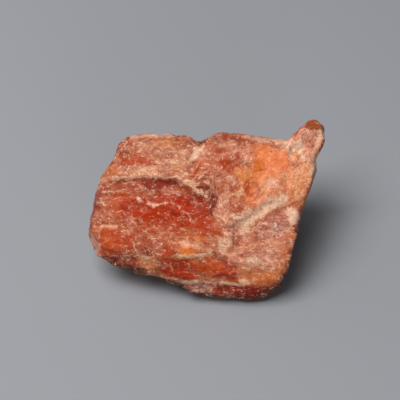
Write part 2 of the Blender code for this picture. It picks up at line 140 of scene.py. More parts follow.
# Patches on the page: pigment, softness of the edge in millimetres, then the corners
PATCHES = {
    "slab": ("salmon", 0.6, (-11.9, 11), (-9.8, 11.5), (-4.5, 11.5), (-1.6, 10.8), (0.3, 10.4), (-0.4, 8.5),
        (-1.6, 6.9), (-2.7, 5.3), (-5, 5.6), (-7.7, 5.9), (-13.2, 5.4), (-15.1, 4.4), (-14.8, 5.5),
        (-13.2, 7.8)),
    "slab corner": ("brick", 0.8, (-12.2, 10.8), (-10.5, 11), (-9.8, 8.7), (-10.5, 7.8), (-12.7, 7.4),
        (-13.2, 7.8)),
    "slab dark corner": ("umber", 0.4, (-12.9, 10.9), (-10.6, 11.6), (-10.3, 9.9), (-12.6, 9.3)),
    "slab streak": ("rust_red", 0.4, (-12.2, 8.2), (-9.8, 8.4), (-7.6, 7.9), (-7.7, 7.5), (-10.5, 7.3),
        (-12, 7.4)),
    "slab amber corner": ("ochre", 0.6, (-14.1, 6.5), (-13.1, 7.3), (-12.5, 6.9), (-12.6, 5.7),
        (-14.1, 5.4)),
    "slab peach band": ("peach", 0.6, (-9.8, 7.1), (-6.4, 6.8), (-6.4, 5.9), (-9.8, 5.8), (-11.2, 5.8),
        (-11, 6.3)),
    "slab spot": ("tan", 0.3, (-4.8, 6.9), (-3.4, 6.9), (-3, 6.1), (-4.5, 6)),
    "slab far edge": ("tan", 0.6, (-8.2, 11), (-3.2, 10.8), (-3.4, 9.9), (-6.4, 9.8)),
    "slab far rim": ("cream_pink", 0.3, (-10.8, 11.7), (-8.8, 11.9), (-4.8, 12), (-4.6, 11.4), (-8.6, 11.2),
        (-10.6, 10.9)),
    "slab far corner": ("umber", 0.4, (-3.2, 11.2), (-1.3, 10.9), (-0.9, 10.4), (-2.7, 9.9), (-3.6, 10.3)),
    "slab right": ("peach", 0.8, (-4.5, 9.2), (-2.7, 9), (-2.5, 7.4), (-3.6, 7), (-4.8, 8.1)),
    "pale flake": ("pale_pink", 0.2, (-1.8, 9.8), (-0.1, 10.1), (-0.3, 9), (-0.9, 7.9), (-2.4, 7.8),
        (-2.1, 9)),
    "flake shade": ("maroon", 0.15, (-1.9, 7.8), (-1.1, 7.9), (-1.1, 7.5), (-2, 7.3)),
    "notch": ("plum", 0.2, (-1.3, 10.9), (0.7, 11), (0.5, 10.6), (-0.9, 10.3)),
    "second band": ("umber", 0.4, (-15.3, 3.5), (-11.8, 4.1), (-7.3, 4.1), (-3.2, 4.3), (-1.3, 3.5),
        (-2.7, 2.6), (-5.9, 3), (-9.1, 2.9), (-9.8, 3.5), (-12.7, 3.3), (-15.2, 3)),
    # Under the slab's lip: the stone's dark red, darkened further as painted shade of the overhang
    "undercut left": ("umber", 0.2, (-15.2, 4.2), (-13.2, 5), (-11.4, 5.2), (-9.8, 5.3), (-9.3, 5.3),
        (-9.3, 3.9), (-12, 4), (-15.2, 3.5)),
    "undercut": ("garnet", 0.25, (-9.2, 4.9), (-7.7, 5.2), (-5.4, 5.3), (-4.5, 5.4), (-3.2, 5), (-2.7, 4.2),
        (-5, 3.8), (-7.3, 3.7), (-8.9, 4)),
    "undercut right": ("salmon", 0.2, (-4.5, 5.3), (-3.2, 5.2), (-2.4, 4.4), (-3.6, 4.3)),
    "pink crust": ("mauve_pink", 0.3, (-6.4, 3.8), (-4.5, 3.8), (-4.3, 3.4), (-5.9, 3.2)),
    "band right": ("brick", 0.3, (-4.5, 3.7), (-1.8, 3.7), (-0.7, 3), (-2.5, 2.6), (-3.6, 3)),
    "red face": ("deep_red", 0.6, (-9.8, 2.8), (-6.4, 3), (-2.7, 2.7), (-1.3, 3.3), (0.5, 2.4), (0.7, 0.3),
        (0.7, -2), (-1.3, -2.4), (-4.5, -1.5), (-7.7, -1.3), (-9.8, -1.1), (-11.8, 0.3), (-10.5, 1.7)),
    "red window": ("burnt_orange", 0.5, (-13.2, 3.2), (-10.2, 3.3), (-10, 2.1), (-11.4, 1.7), (-13, 2)),
    "red dish": ("vivid_red", 0.6, (-10.5, 0.8), (-8.2, 1), (-6.8, 0.8), (-6.6, -0.1), (-8.2, -1.1),
        (-10, -0.6)),
    "red shade": ("dark_red", 0.6, (-2.7, 3), (-0.4, 3.3), (0.6, 2.1), (0.5, 0.8), (-1.3, 1), (-2.5, 1.7)),
    "rust face": ("deep_red", 0.8, (-6.4, 0.5), (-3.2, 0.8), (0.5, -0.1), (0.9, -2), (-1.3, -2.4),
        (-4.5, -1.3)),
    "red middle": ("vivid_red", 0.5, (-5, 2.3), (-2.8, 2.3), (-2.4, 0.6), (-5, 0.6)),
    "red crack": ("dark_red", 0.2, (-10.7, 2.6), (-9.1, 2.1), (-8.6, 1.3), (-10.5, 1.7)),
    "window pink": ("salmon", 0.25, (-8.8, 3.1), (-7.4, 3.1), (-7.5, 2.4), (-8.6, 2.4)),
    "red flake": ("cream_pink", 0.15, (-8.6, 2.4), (-7.9, 1.9), (-7.2, 1.75), (-6.4, 1.75), (-5.4, 2),
        (-6.2, 1.5), (-7.5, 1.3), (-8.2, 1.7)),
    "small flake": ("cream_pink", 0.12, (-9.7, 2.8), (-9.2, 2.6), (-9, 2), (-9.5, 2.1)),
    "left glint": ("cream_grey", 0.15, (-15.9, 5.1), (-15, 5.3), (-14.9, 4.6), (-15.7, 4.2)),
    "left face": ("orange_pink", 0.7, (-15.6, 3), (-13.2, 3), (-11.1, 1.7), (-10, -0.1), (-9.8, -1.5),
        (-12.7, -1.5), (-16.4, -1.7), (-16.5, -1.1), (-15.9, 1.7)),
    "left amber": ("burnt_orange", 0.7, (-13, 1.9), (-11.1, 1.9), (-10.7, 0.3), (-12.3, -0.1),
        (-13.2, 0.8)),
    "left edge": ("mauve", 0.4, (-15.6, 3.8), (-14.5, 3.8), (-14.7, 2.6), (-15.3, 1.2), (-15.8, -0.1),
        (-16.3, -2), (-16.7, -1.5), (-16.4, 0.3)),
    "left red": ("deep_red", 0.6, (-13.2, 3), (-11.6, 2.6), (-10.2, 1.6), (-9.9, 0.2), (-10.8, -0.9),
        (-11.6, -0.2), (-12, 1)),
    "left pale": ("salmon", 0.4, (-15.4, 0.8), (-14.3, 0.8), (-14.4, -0.8), (-15.5, -0.8)),
    "left crust": ("mauve_pink", 0.3, (-15.5, 2.4), (-13.9, 3), (-13.6, 2.6), (-15, 1.4)),
    "left block": ("burnt_orange", 0.2, (-15.2, -2), (-12.7, -1.8), (-10.2, -2.4), (-10.2, -4.7),
        (-12.3, -5.2), (-13.6, -5.7), (-14.9, -5.5), (-15.5, -4.2)),
    "left block red": ("rust_red", 0.7, (-12.7, -2.4), (-10.2, -2.5), (-10.3, -4.7), (-12, -4.9)),
    "left block rim": ("peach", 0.2, (-15.3, -1.5), (-12.3, -1.4), (-12.4, -1.9), (-15.2, -2)),
    "block side": ("grey_mauve", 0.2, (-15.9, -2.5), (-15.4, -2.6), (-15.3, -4.5), (-14.7, -5.6),
        (-15.3, -5.9), (-16.2, -4.6)),
    "block patch": ("orange_pink", 0.25, (-12.4, -2), (-10.7, -1.9), (-10.7, -2.5), (-11.8, -2.9)),
    "brown block": ("umber", 0.35, (-10, -2.5), (-7.5, -2.7), (-7.3, -4.9), (-7.5, -5.6), (-9.1, -5.6),
        (-10.2, -4.7)),
    "middle band": ("rust", 0.7, (-10, -0.8), (-6.4, -1.3), (-3.2, -1.5), (0.9, -2.2), (1.4, -3.6),
        (-0.9, -3.8), (-4.5, -3.1), (-7.3, -3.1), (-9.8, -2)),
    "middle sugar": ("orange_pink", 0.6, (-7.5, -1.5), (-4.5, -2.4), (-5, -3.6), (-7.3, -3.6)),
    "above lens": ("ochre", 0.3, (-4.8, -2.7), (-1.6, -2.7), (0.6, -3.2), (0.9, -4.3), (-0.8, -3.6),
        (-2.7, -3.1), (-4.4, -3.5)),
    "lens": ("peach_light", 0.2, (-3.8, -3.5), (-2.7, -3.2), (-1.4, -3.4), (-0.2, -3.9), (0.9, -4.9),
        (-0.4, -4.9), (-2.7, -4.5), (-3.4, -4.1)),
    "lens amber": ("amber", 0.15, (-4.1, -4.5), (-2.5, -4.5), (-0.8, -4.9), (-1.6, -5.3), (-3.8, -5.3)),
    "lens foot": ("cream_yellow", 0.15, (-4.2, -5.3), (-1.3, -5.3), (0.8, -4.9), (0.8, -5.6), (-0.8, -5.9),
        (-2.5, -6), (-4.2, -5.9)),
    "orange wedge": ("rust_red", 0.25, (-6, -4), (-4.3, -4.2), (-4, -5.6), (-5.9, -5.8), (-6.6, -5.2)),
    "low corner": ("maroon", 0.25, (-14.6, -5.8), (-12.7, -5.6), (-12, -5.8), (-12.7, -6.6), (-13.9, -6.6)),
    "low olive": ("umber", 0.25, (-12.4, -5.8), (-9.5, -5.5), (-9.4, -7), (-11.6, -7.1)),
    "low tan": ("tan", 0.25, (-9.5, -5.7), (-7, -5.6), (-6.8, -7.4), (-8.2, -7.8), (-9.3, -7.2)),
    "low rim": ("mauve", 0.2, (-12.7, -6.9), (-9.5, -7.4), (-7.3, -8.1), (-7.5, -8.3), (-9.8, -7.8),
        (-12.7, -7.2)),
    "red foot": ("deep_red", 0.35, (-6.6, -5.8), (-4.3, -6), (-1.3, -5.8), (-0.9, -7.4), (-1.3, -9),
        (-3.6, -9.3), (-5.2, -8.8), (-6.3, -8), (-6.4, -6.8)),
    "red foot orange": ("burnt_orange", 0.7, (-1.3, -6.5), (0.7, -5.8), (2.5, -6.1), (3, -7.9), (0.9, -8.3),
        (-1.3, -8.1)),
    "red foot shade": ("deep_red", 0.4, (1.6, -5.4), (3, -5.8), (3.9, -7.2), (4.3, -8.3), (3.2, -7.6),
        (1.8, -6.3)),
    "red foot rust": ("deep_red", 0.4, (2.5, -7), (5, -8.3), (4.6, -9.3), (0.9, -8.8)),
    "foot top": ("ochre", 0.25, (-2.4, -5.9), (-0.8, -5.9), (-0.9, -6.7), (-2.3, -6.7)),
    "foot pale": ("salmon", 0.25, (0.4, -8.8), (2.6, -8.7), (2.8, -9.3), (0.5, -9.4)),
    "foot rim": ("cream_pink", 0.2, (-5.4, -8.7), (-3.2, -9.3), (-1.3, -9.4), (-2.7, -9.7), (-4.5, -9.3)),
    "hem sugar": ("plum_grey", 0.3, (-3.8, -9.3), (-0.9, -9.1), (0.7, -9.5), (0.9, -10.9), (0, -11.3),
        (-1.8, -10.9), (-3.2, -10.1)),
    "hem": ("maroon", 0.35, (0.5, -9.3), (3.2, -9.4), (5.5, -9.7), (9.6, -9.7), (9.8, -10.4), (7.8, -11.7),
        (5, -11.9), (1.8, -11.5), (0.7, -10.9)),
    "lower right": ("salmon_light", 0.7, (3.7, -3.8), (5.5, -2), (8.9, -1.5), (11.6, -1.3), (12.3, -2.9),
        (12.1, -5.2), (11.2, -7.2), (7.8, -7.4), (5.5, -6.1), (3.9, -5.2)),
    "lower right pale": ("sugar_pink", 0.6, (7.6, -4.5), (10.8, -4.6), (10.9, -6.3), (9, -6.5),
        (7.7, -5.4)),
    "lower right red": ("brick", 0.3, (3.4, -2.9), (4.6, -3), (4.8, -4.2), (4.1, -5.2), (3.2, -4.5)),
    "pink band": ("salmon_light", 0.3, (1.8, -4.8), (4.1, -5.3), (7.3, -6.6), (7.8, -7.7), (5.9, -7.7),
        (4, -7.1), (3.2, -6.2)),
    "cream patch": ("pale_pink", 0.4, (5.5, -5.6), (7.1, -5.7), (8, -6.5), (6.9, -6.9), (5.7, -6.4)),
    "right edge": ("ochre", 0.9, (11, -2.4), (12.8, -1.9), (12.6, -5.6), (12, -7.4), (10.4, -9.5),
        (9.8, -7.8), (10.4, -5.6)),
    "orange foot": ("ochre", 0.6, (4.8, -7.4), (7.3, -7.2), (10, -7.4), (10.5, -8.6), (9.8, -9.7),
        (6.6, -9.7), (4.6, -8.8)),
    "amber streak": ("amber", 0.2, (7.3, -8.7), (10, -8.5), (9.8, -9), (7.3, -9.3)),
    "yellow spot": ("cream_yellow", 0.2, (4.7, -9), (6.4, -9), (6.4, -9.7), (5, -9.8)),
    "crimson line": ("peach", 0.2, (6.9, -6.8), (9.6, -7.3), (9.4, -7.8), (7.3, -7.4)),
    "centre cream": ("sugar_pink", 0.45, (1.3, 0.6), (2, 1.6), (3, 1.4), (3.5, -0.2), (3.9, -1),
        (3.4, -1.6), (2.9, -1.2), (1.9, -0.2)),
    "low cream": ("cream", 0.45, (1.6, -3.1), (3.2, -2.8), (3.7, -3.6), (2.8, -4.9), (1.6, -4.7)),
    "valley pink": ("sugar_pink", 0.4, (1.6, 1.7), (2.1, 3), (3.2, 3.3), (3, 1.7), (3.2, 0.8), (2.1, 0.8)),
    "valley shade": ("plum", 0.3, (0, 4.8), (1.5, 4.2), (1.6, 2.4), (1.2, 0.9), (0.6, 0.2), (0.3, 1.2),
        (0.1, 2.8), (-0.4, 3.6)),
    "junction": ("peach", 0.2, (-3.4, 5), (-1.8, 5.4), (-1.1, 4.9), (-0.8, 4.2), (-1.5, 4.2), (-2.8, 4.5)),
    "valley brown": ("plum", 0.25, (-1.6, 4.1), (-0.6, 4.4), (0.2, 3.3), (0.6, 2.2), (-0.2, 2.4),
        (-1.3, 3.3)),
    "below valley": ("burnt_orange", 0.4, (0.9, -1.5), (2.4, -1.7), (3.4, -2.7), (2.3, -3.1), (0.9, -2.7)),
    "centre facet": ("dusty_red", 0.5, (0.7, 11.5), (4.4, 11.6), (6.4, 11.2), (6.6, 9.9), (6.2, 7.6),
        (4.4, 5.8), (2.3, 4.9), (0.9, 4.2), (-1.3, 4.9), (-2.5, 5.8), (-1.3, 7.6), (0, 9.9)),
    "facet red": ("rust_red", 0.3, (1.9, 8.1), (2.8, 8.3), (3.5, 7.4), (3.1, 6.5), (2, 6.4)),
    "facet red top": ("rust_red", 0.25, (1.3, 9.5), (2.7, 9.6), (2.9, 8.9), (1.5, 8.8)),
    "facet far edge": ("umber", 0.3, (0.9, 11.5), (4.6, 11.7), (6.6, 11.2), (6.6, 10.7), (3.2, 10.8),
        (0.9, 10.7)),
    "facet dust": ("mauve_pink", 0.6, (1.4, 10.6), (3.9, 10.7), (3.9, 9.6), (1.6, 9.4)),
    "facet foot": ("brick", 0.35, (-1.3, 5.3), (0.9, 6), (2.3, 5.3), (0.9, 4.2), (-0.9, 4.4)),
    "facet wedge": ("rust_red", 0.15, (-2.4, 5.8), (-1.3, 7.1), (-0.4, 7.6), (-0.9, 6.5), (-1.8, 5.5)),
    "facet spot": ("cream_pink", 0.25, (5.6, 8.2), (6.3, 8.2), (6.2, 7.2), (5.5, 7.4)),
    "orange facet": ("orange", 0.9, (6.9, 10.3), (8.9, 10.4), (11.9, 9.3), (12.1, 7.1), (11.9, 3.5),
        (10.7, 2.1), (7.8, 1.7), (5.5, 1.2), (3.7, 1.7), (4.6, 4.2), (5.7, 5.3), (6.4, 7.6)),
    "amber vein": ("amber", 0.6, (7, 8), (8, 8.4), (8, 6.8), (7.8, 5.3), (6.6, 4.8), (5.5, 4.9),
        (6.2, 6.7)),
    "peach face": ("peach_light", 1.2, (7.8, 5.3), (11.6, 5.8), (11.9, 3), (10.5, 1.9), (7.8, 1.7),
        (6.9, 3)),
    "tan wedge": ("honey", 0.6, (3.6, 5.6), (4.6, 6.6), (6.4, 7.3), (6.4, 5.4), (4.8, 4.9)),
    "wedge pink": ("salmon_light", 0.4, (2.8, 5.6), (4, 5.8), (4.4, 4.4), (3.2, 3.8)),
    "amber foot": ("ochre", 0.5, (6.2, 5.2), (7.4, 5.2), (7.6, 4), (6.6, 3.6), (6, 4)),
    "facet orange": ("burnt_orange", 0.4, (3.6, 7.3), (4.8, 7.5), (4.8, 6.6), (3.8, 6.4)),
    "groove shade": ("orange_pink", 0.4, (3.1, 1.7), (3.9, 2.6), (5.5, 3), (5.7, 2.1), (4.6, 1),
        (3.7, -0.1)),
    "groove": ("cream_yellow", 0.15, (3, 2.8), (4.6, 3.5), (5.7, 4.7), (6.1, 4.5), (5.2, 3), (3.4, 2.5)),
    "groove ochre": ("ochre", 0.3, (5, 3.5), (6.2, 3.8), (6.3, 2.6), (5.3, 2.4)),
    # Orange-pink of the ridge's back, painted paler as painted light where it lies in shade
    "ridge back": ("peach", 0.3, (4.4, 0.3), (5.5, 1.4), (7.8, 1.4), (6.6, 0.5), (5, -0.1)),
    "facet far": ("peach", 0.4, (9.6, 10.3), (11.2, 10.1), (11.2, 9.3), (9.8, 9.5)),
    "wedge top": ("peach", 0.3, (5.4, 8), (6.7, 8.2), (6.7, 7.2), (5.5, 7.1)),
    "peach spot": ("cream_pink", 0.3, (8.5, 5.3), (9.6, 5.3), (10, 4.4), (8.7, 4.2)),
    "strip": ("peach_light", 0.5, (11.9, 10.3), (13.2, 10.6), (14.1, 7.8), (15.7, 7.4), (15.3, 5.3),
        (14.6, 4), (13, 3), (11.9, 3), (12.1, 6.9)),
    "strip crust": ("pale_pink", 0.3, (11.5, 10.2), (13, 10.6), (13.2, 9.4), (11.8, 9)),
    "strip far": ("grey_mauve", 0.25, (11, 11.2), (12.4, 11.2), (12.4, 10.4), (11.1, 10.4)),
    "strip foot": ("cream_grey", 0.2, (13.8, 9.3), (14.8, 8.7), (14.7, 7.8), (13.7, 8.1)),
    "strip brown": ("tan", 0.5, (12.1, 5.4), (14.8, 5.8), (13.9, 1.7), (13.2, 1), (11.9, 2.1)),
    "pink flake": ("pale_pink", 0.25, (10.8, 0.8), (11.6, 1.4), (12.8, 1.1), (13.4, 0.2), (13, -0.9),
        (11.9, -1.5), (11, -0.5)),
    "strip ledge": ("sugar_pink", 0.2, (13.5, 7.9), (14.6, 7.8), (15.5, 7.1), (14.6, 7.4)),
    "ridge crust": ("cream_grey", 0.3, (4.6, -0.2), (5.5, 0.6), (7.5, 1.5), (9.4, 2.5), (11.4, 2.7),
        (11.6, 2), (9.7, 0.9), (8.2, 0), (7, -0.4), (6.1, -1.3), (5.7, -2.4), (5.2, -1.8), (5, -1)),
    # Pale pink behind the ridge's crest, made paler as painted light over the crest's shade
    "ridge foot": ("pale_pink", 0.25, (3.4, 0.3), (4.6, 0.2), (5.2, 0.7), (5.2, -0.1), (4.9, -0.5),
        (4.2, -0.9)),
    "crust end": ("pale_pink", 0.3, (8.2, 1.9), (9.6, 2.9), (11.2, 3), (11.2, 2.2), (9.6, 1.6)),
    "crust foot": ("cream_pink", 0.2, (4.7, -1.9), (5.3, -1.8), (5.5, -3), (5, -3.2)),
    "ridge pink": ("sugar_pink", 0.2, (3.9, -0.6), (5.5, -0.1), (5.3, -1.1), (4.4, -1.3)),
    "mauve face": ("mauve_pink", 0.6, (6.6, -1.5), (7.8, -0.1), (11, 1), (11.6, -0.1), (11.4, -2),
        (8.9, -2.9), (6.9, -2.9)),
    "mauve shade": ("crimson", 0.25, (7.5, -0.2), (9, 0.3), (9.3, -0.1), (8.2, -0.7)),
    "mauve salmon": ("brick", 0.4, (7, -0.6), (8.3, -0.6), (8.2, -1.7), (7, -1.7)),
    "mauve foot": ("sugar_pink", 0.4, (7.4, -1.9), (9.6, -1.7), (9.6, -2.9), (7.6, -3)),
    "mauve sugar": ("grey_mauve", 0.5, (9.4, -1.1), (11.2, -0.6), (11.2, -2.4), (9.6, -2.7)),
    "pit side": ("salmon_light", 0.3, (2.3, -1.4), (3.3, -1.3), (3.5, -3), (2.4, -3.1)),
    "mauve end": ("sugar_pink", 0.4, (10.6, -1.6), (11.7, -1.6), (11.6, -2.6), (10.6, -2.6)),
    "low side": ("salmon_light", 0.3, (0.6, -3.2), (1.5, -3.2), (1.6, -4.2), (0.7, -4.2)),
    "low side foot": ("salmon", 0.3, (1.2, -5.4), (2.6, -5.4), (2.8, -6.1), (1.4, -6.1)),
    "right edge pale": ("salmon_light", 0.4, (10.9, -3), (12, -3), (12, -4.4), (11, -4.4)),
    "pit": ("mauve_pink", 0.15, (3.6, -1.3), (4.2, -0.9), (4.7, -2), (4.1, -2.9), (3.7, -2.2)),
    "spur": ("sugar_pink", 0.3, (12.1, 10.7), (13, 11.7), (14.6, 12.6), (16.4, 12.5), (17, 12.2),
        (16.4, 9.9), (15.7, 7.4), (13.9, 7.9), (13.2, 9.9)),
    "spur back": ("mauve_pink", 0.3, (12.6, 11.2), (14.6, 12.9), (15, 12.3), (13.8, 11.4), (13, 10.8)),
    "spur pale": ("pale_pink", 0.3, (12.4, 10.3), (13.4, 10.9), (13.9, 9.8), (14.1, 8.2), (13.6, 8),
        (12.8, 9.3)),
    "spur red": ("dusty_red", 0.4, (15, 10.8), (15.8, 10.6), (15.6, 8.7), (15, 8.7)),
    "spur middle": ("dusty_red", 0.3, (14.3, 9.8), (15.1, 9.8), (15.1, 8.8), (14.4, 8.8)),
    "spur edge": ("cream_grey", 0.25, (16.2, 12.3), (17, 12.3), (16.4, 9.9), (15.9, 7.6), (15.5, 9.4)),
    "spur foot": ("cream_grey", 0.25, (15, 8.2), (16, 8.6), (15.8, 6.4), (15.2, 5.6), (14.9, 6.6)),
    # The lip's pale brown, made paler as painted light on the wall that lies in shade
    "lip face": ("cream_pink", 0.15, (-12.5, 5.45), (-9.8, 5.8), (-7.7, 5.7), (-5.2, 5.4), (-5.2, 5.2),
        (-7.7, 5.35), (-9.8, 5.35), (-12.5, 5.15)),
    "orange spot": ("burnt_orange", 0.5, (5, 4.6), (6, 5), (6.6, 4), (6.2, 2.9), (5.2, 3.3)),
    "far band": ("cream_pink", 0.3, (5, 11.6), (8.9, 11.4), (12.2, 11), (12.3, 10.2), (10.5, 10.2),
        (8.9, 10.6), (6.6, 10.7)),
    # Painted shade along the lower and right rims, where the underside turns away from the lamps
    "painted shade rim left": ("shade", 0.4, (-14.6, -6), (-12, -6.8), (-10, -7.3), (-8, -8.1), (-6.2, -8.6),
        (-4.4, -9.1), (-3, -10), (-1.5, -10.7), (0.3, -10.9), (0.3, -14), (-14.6, -14)),
    "painted shade rim right": ("shade", 0.4, (0.3, -10.9), (2.2, -11), (4.2, -11.3), (6.4, -11.3), (8, -11), (9.7, -9.8),
        (10.7, -8.1), (11.6, -6.2), (12.2, -4.2), (12.5, -2.4), (12.9, -0.8), (16, -0.8), (16, -14),
        (0.3, -14)),
    "spur tip": ("tip_brown", 0.15, (14, 12.6), (14.6, 13.4), (15.5, 13.6), (16.9, 13.1), (17, 12.2),
        (15.5, 12.3), (14.6, 12.4)),
}

# All veins have this share of the width that is written with them
VEIN_WIDTH = 0.8
# Veins, edges and cracks on the page: pigment, width in millimetres, strength, then the line's points
VEINS = {
    "slab lip": ("cream", 0.17, 0.95, (-12.9, 5.45), (-11.4, 5.65), (-10.3, 5.85), (-9.3, 5.9), (-7.2, 5.7),
        (-5.4, 5.4), (-4.4, 5.5), (-3.7, 5.2), (-2.9, 4.5), (-1.9, 4.1), (-0.6, 3.3), (0.4, 2.4)),
    "junction spots": ("pale_pink", 0.3, 0.7, (-3.2, 4.9), (-2.4, 5), (-1.5, 4.6)),
    "middle lip": ("cream_pink", 0.13, 0.7, (-15.1, 3.4), (-13.6, 3.6), (-12.2, 3.5)),
    "inner lip": ("cream_pink", 0.11, 0.8, (-5.9, 3.1), (-4.5, 3), (-3.2, 2.8), (-2.5, 2.4)),
    "valley edge": ("cream_pink", 0.13, 0.8, (0.9, 1), (1.1, 0.2), (1.7, -0.4), (2.6, -1.3), (3.5, -1.8)),
    "face hook": ("cream_pink", 0.11, 0.75, (-3.4, 0.6), (-2.6, 0.4), (-2.2, -0.2), (-2.4, -0.8)),
    "dish hook": ("cream_pink", 0.1, 0.7, (-6.1, 0.4), (-5.3, 0.2), (-4.9, -0.4)),
    "red hook": ("cream_pink", 0.1, 0.7, (-5, 2.3), (-4.7, 1.7), (-4, 1.6)),
    "left hook": ("cream_pink", 0.11, 0.7, (-13.3, 0.9), (-12.6, 0.6), (-11.8, 0.7), (-11.4, 0.2)),
    "band hook": ("cream_pink", 0.11, 0.7, (-6.6, -2.1), (-5.6, -2.4), (-4.6, -2.2), (-3.9, -2.7)),
    "mauve edge": ("cream_pink", 0.13, 0.8, (6.5, -1.9), (7, -1.3), (7.8, -0.7), (8.1, 0)),
    "mauve fleck": ("cream", 0.14, 0.8, (9, -0.9), (9.4, -1.6), (9.1, -2.2)),
    "facet edge": ("cream_pink", 0.12, 0.8, (2.3, 6.9), (1.4, 6.3), (0.6, 5.4), (0.2, 5)),
    "facet fork": ("cream_pink", 0.11, 0.75, (5.4, 8.8), (4.7, 8.2), (4.9, 7.4), (5.6, 6.9)),
    "facet cross": ("cream_pink", 0.1, 0.7, (1.2, 8.8), (2.2, 8.7), (3.3, 8.9), (4.4, 9.4)),
    "foot hook": ("cream_pink", 0.11, 0.7, (-5.8, -6.6), (-5, -6.9), (-4.6, -7.6)),
    "low fleck": ("cream", 0.14, 0.8, (9.3, -4.1), (10, -4.7), (10.9, -4.8)),
    "low edge": ("cream_pink", 0.11, 0.7, (4.3, -2.6), (4.5, -3.6), (5.3, -4.3)),
    "hook": ("cream_pink", 0.1, 0.7, (-1.6, 2), (-1.2, 1.8), (-1.6, 1.2)),
    "small hook": ("cream_pink", 0.1, 0.7, (-4.5, 1.7), (-3.6, 1.4), (-3.6, 1)),
    "block edge": ("peach", 0.1, 0.7, (0.4, 10.6), (0, 9.6), (-0.3, 8.5), (-1.3, 6.9), (-2.1, 6)),
    "facet vein": ("cream", 0.1, 0.9, (3.3, 9.4), (3.5, 8.5), (3.6, 7.8)),
    "wedge line": ("cream_pink", 0.12, 0.8, (0.5, 6.6), (-0.4, 5.9), (-1, 5.3)),
    "facet lip": ("cream_pink", 0.1, 0.6, (3.9, 5.8), (2.3, 5.3), (0.9, 4.7), (-0.4, 4.9)),
    "block top": ("cream_pink", 0.14, 0.8, (-15.2, -1.6), (-13.9, -1.5), (-12.5, -1.5)),
    "block rim": ("peach_light", 0.13, 0.6, (-15.1, -2.4), (-15.3, -3.6), (-15.5, -4.7), (-14.8, -5.6),
        (-13.9, -5.8)),
    "block foot": ("cream_pink", 0.12, 0.85, (-14.3, -5.8), (-12.3, -5.7), (-10.5, -5.5), (-9.5, -5.7),
        (-7.3, -5.7)),
    "block crack": ("cream", 0.13, 0.8, (-10, -2.5), (-10.2, -3.6), (-9.8, -4.9), (-9.4, -5.7),
        (-8.7, -6.8), (-8.2, -7.3)),
    "second crack": ("cream_pink", 0.1, 0.7, (-7.5, -4.9), (-7.1, -5.7), (-7.3, -6.8)),
    "pink vein": ("cream_pink", 0.14, 0.8, (-10.7, -0.6), (-9.5, -1.5), (-8.2, -2.3), (-7.7, -2.9),
        (-7.5, -3.8)),
    "lens foot line": ("pale_pink", 0.25, 1.0, (-1.8, -5.4), (-0.4, -5.4), (0.6, -5.2)),
    "lens top line": ("cream", 0.14, 0.9, (-4.5, -3.6), (-1.3, -4.1), (0.7, -4.9)),
    "middle vein": ("cream_pink", 0.1, 0.6, (-3.6, -1.5), (-2.9, -2.2), (-1.3, -2.5)),
    "pink band line": ("cream_pink", 0.14, 0.6, (1.6, -5.2), (4.1, -5.7), (7.3, -6.9), (8.9, -7.8)),
    # The ridge's pale crest, and painted light on its wall that lies in shade
    "ridge wall": ("pale_pink", 0.55, 1.0, (3.7, -1.7), (5.3, -0.7), (7.3, 0.5), (9, 1.5), (10.8, 2.3)),
    "ridge line": ("cream", 0.12, 0.9, (5.6, 0), (7.5, 0.5), (8.8, 1.1), (11, 1.8)),
    "short fleck": ("cream", 0.12, 0.8, (5.3, -4.9), (4.6, -5.6)),
    "strip line": ("cream", 0.13, 0.8, (12.1, 10.3), (11.9, 8.5), (11.8, 6.9), (11, 4.9)),
    "groove line": ("cream_yellow", 0.13, 0.9, (3.2, 2.5), (4.4, 3), (5.5, 4), (5.9, 4.6)),
    "hem line": ("cream", 0.3, 1.0, (-3.2, -9.4), (0, -9.3), (2.8, -9.5), (5.5, -9.8)),
    "spur ledge line": ("cream", 0.12, 0.8, (13.9, 7.9), (14.8, 7.6), (15.6, 7.5)),
    "notch line": ("plum", 0.12, 0.8, (-1.3, 10.7), (0.5, 11)),
    # A dark line under the slab's lip, painted shade of the overhang
    "undercut line": ("plum", 0.12, 0.4, (-9.3, 5.1), (-7.7, 5.2), (-5.4, 5.2), (-4.5, 5.3), (-3.4, 5)),
    "valley line": ("plum", 0.16, 0.4, (0, 4.4), (0.9, 3.5), (0.8, 1.7), (0.5, 0.8)),
    "pit line": ("plum", 0.14, 0.4, (4.4, -0.8), (3.8, -1.5), (4, -2.5), (3.8, -3.6)),
    "mauve line": ("plum", 0.1, 0.4, (6.9, -2), (7.5, -1.1), (8.5, -0.4), (10, 0.5)),
    "facet crust": ("plum", 0.25, 0.7, (2.2, 11.6), (3.4, 11.8), (4.8, 11.9), (6.4, 11.4)),
    "foot crack": ("maroon", 0.1, 0.7, (3, -7.2), (2.9, -8.3), (2.5, -9)),
    "block crack shade": ("maroon", 0.12, 0.6, (-12.7, -5.6), (-11.4, -5.3), (-10.2, -4.9)),
}

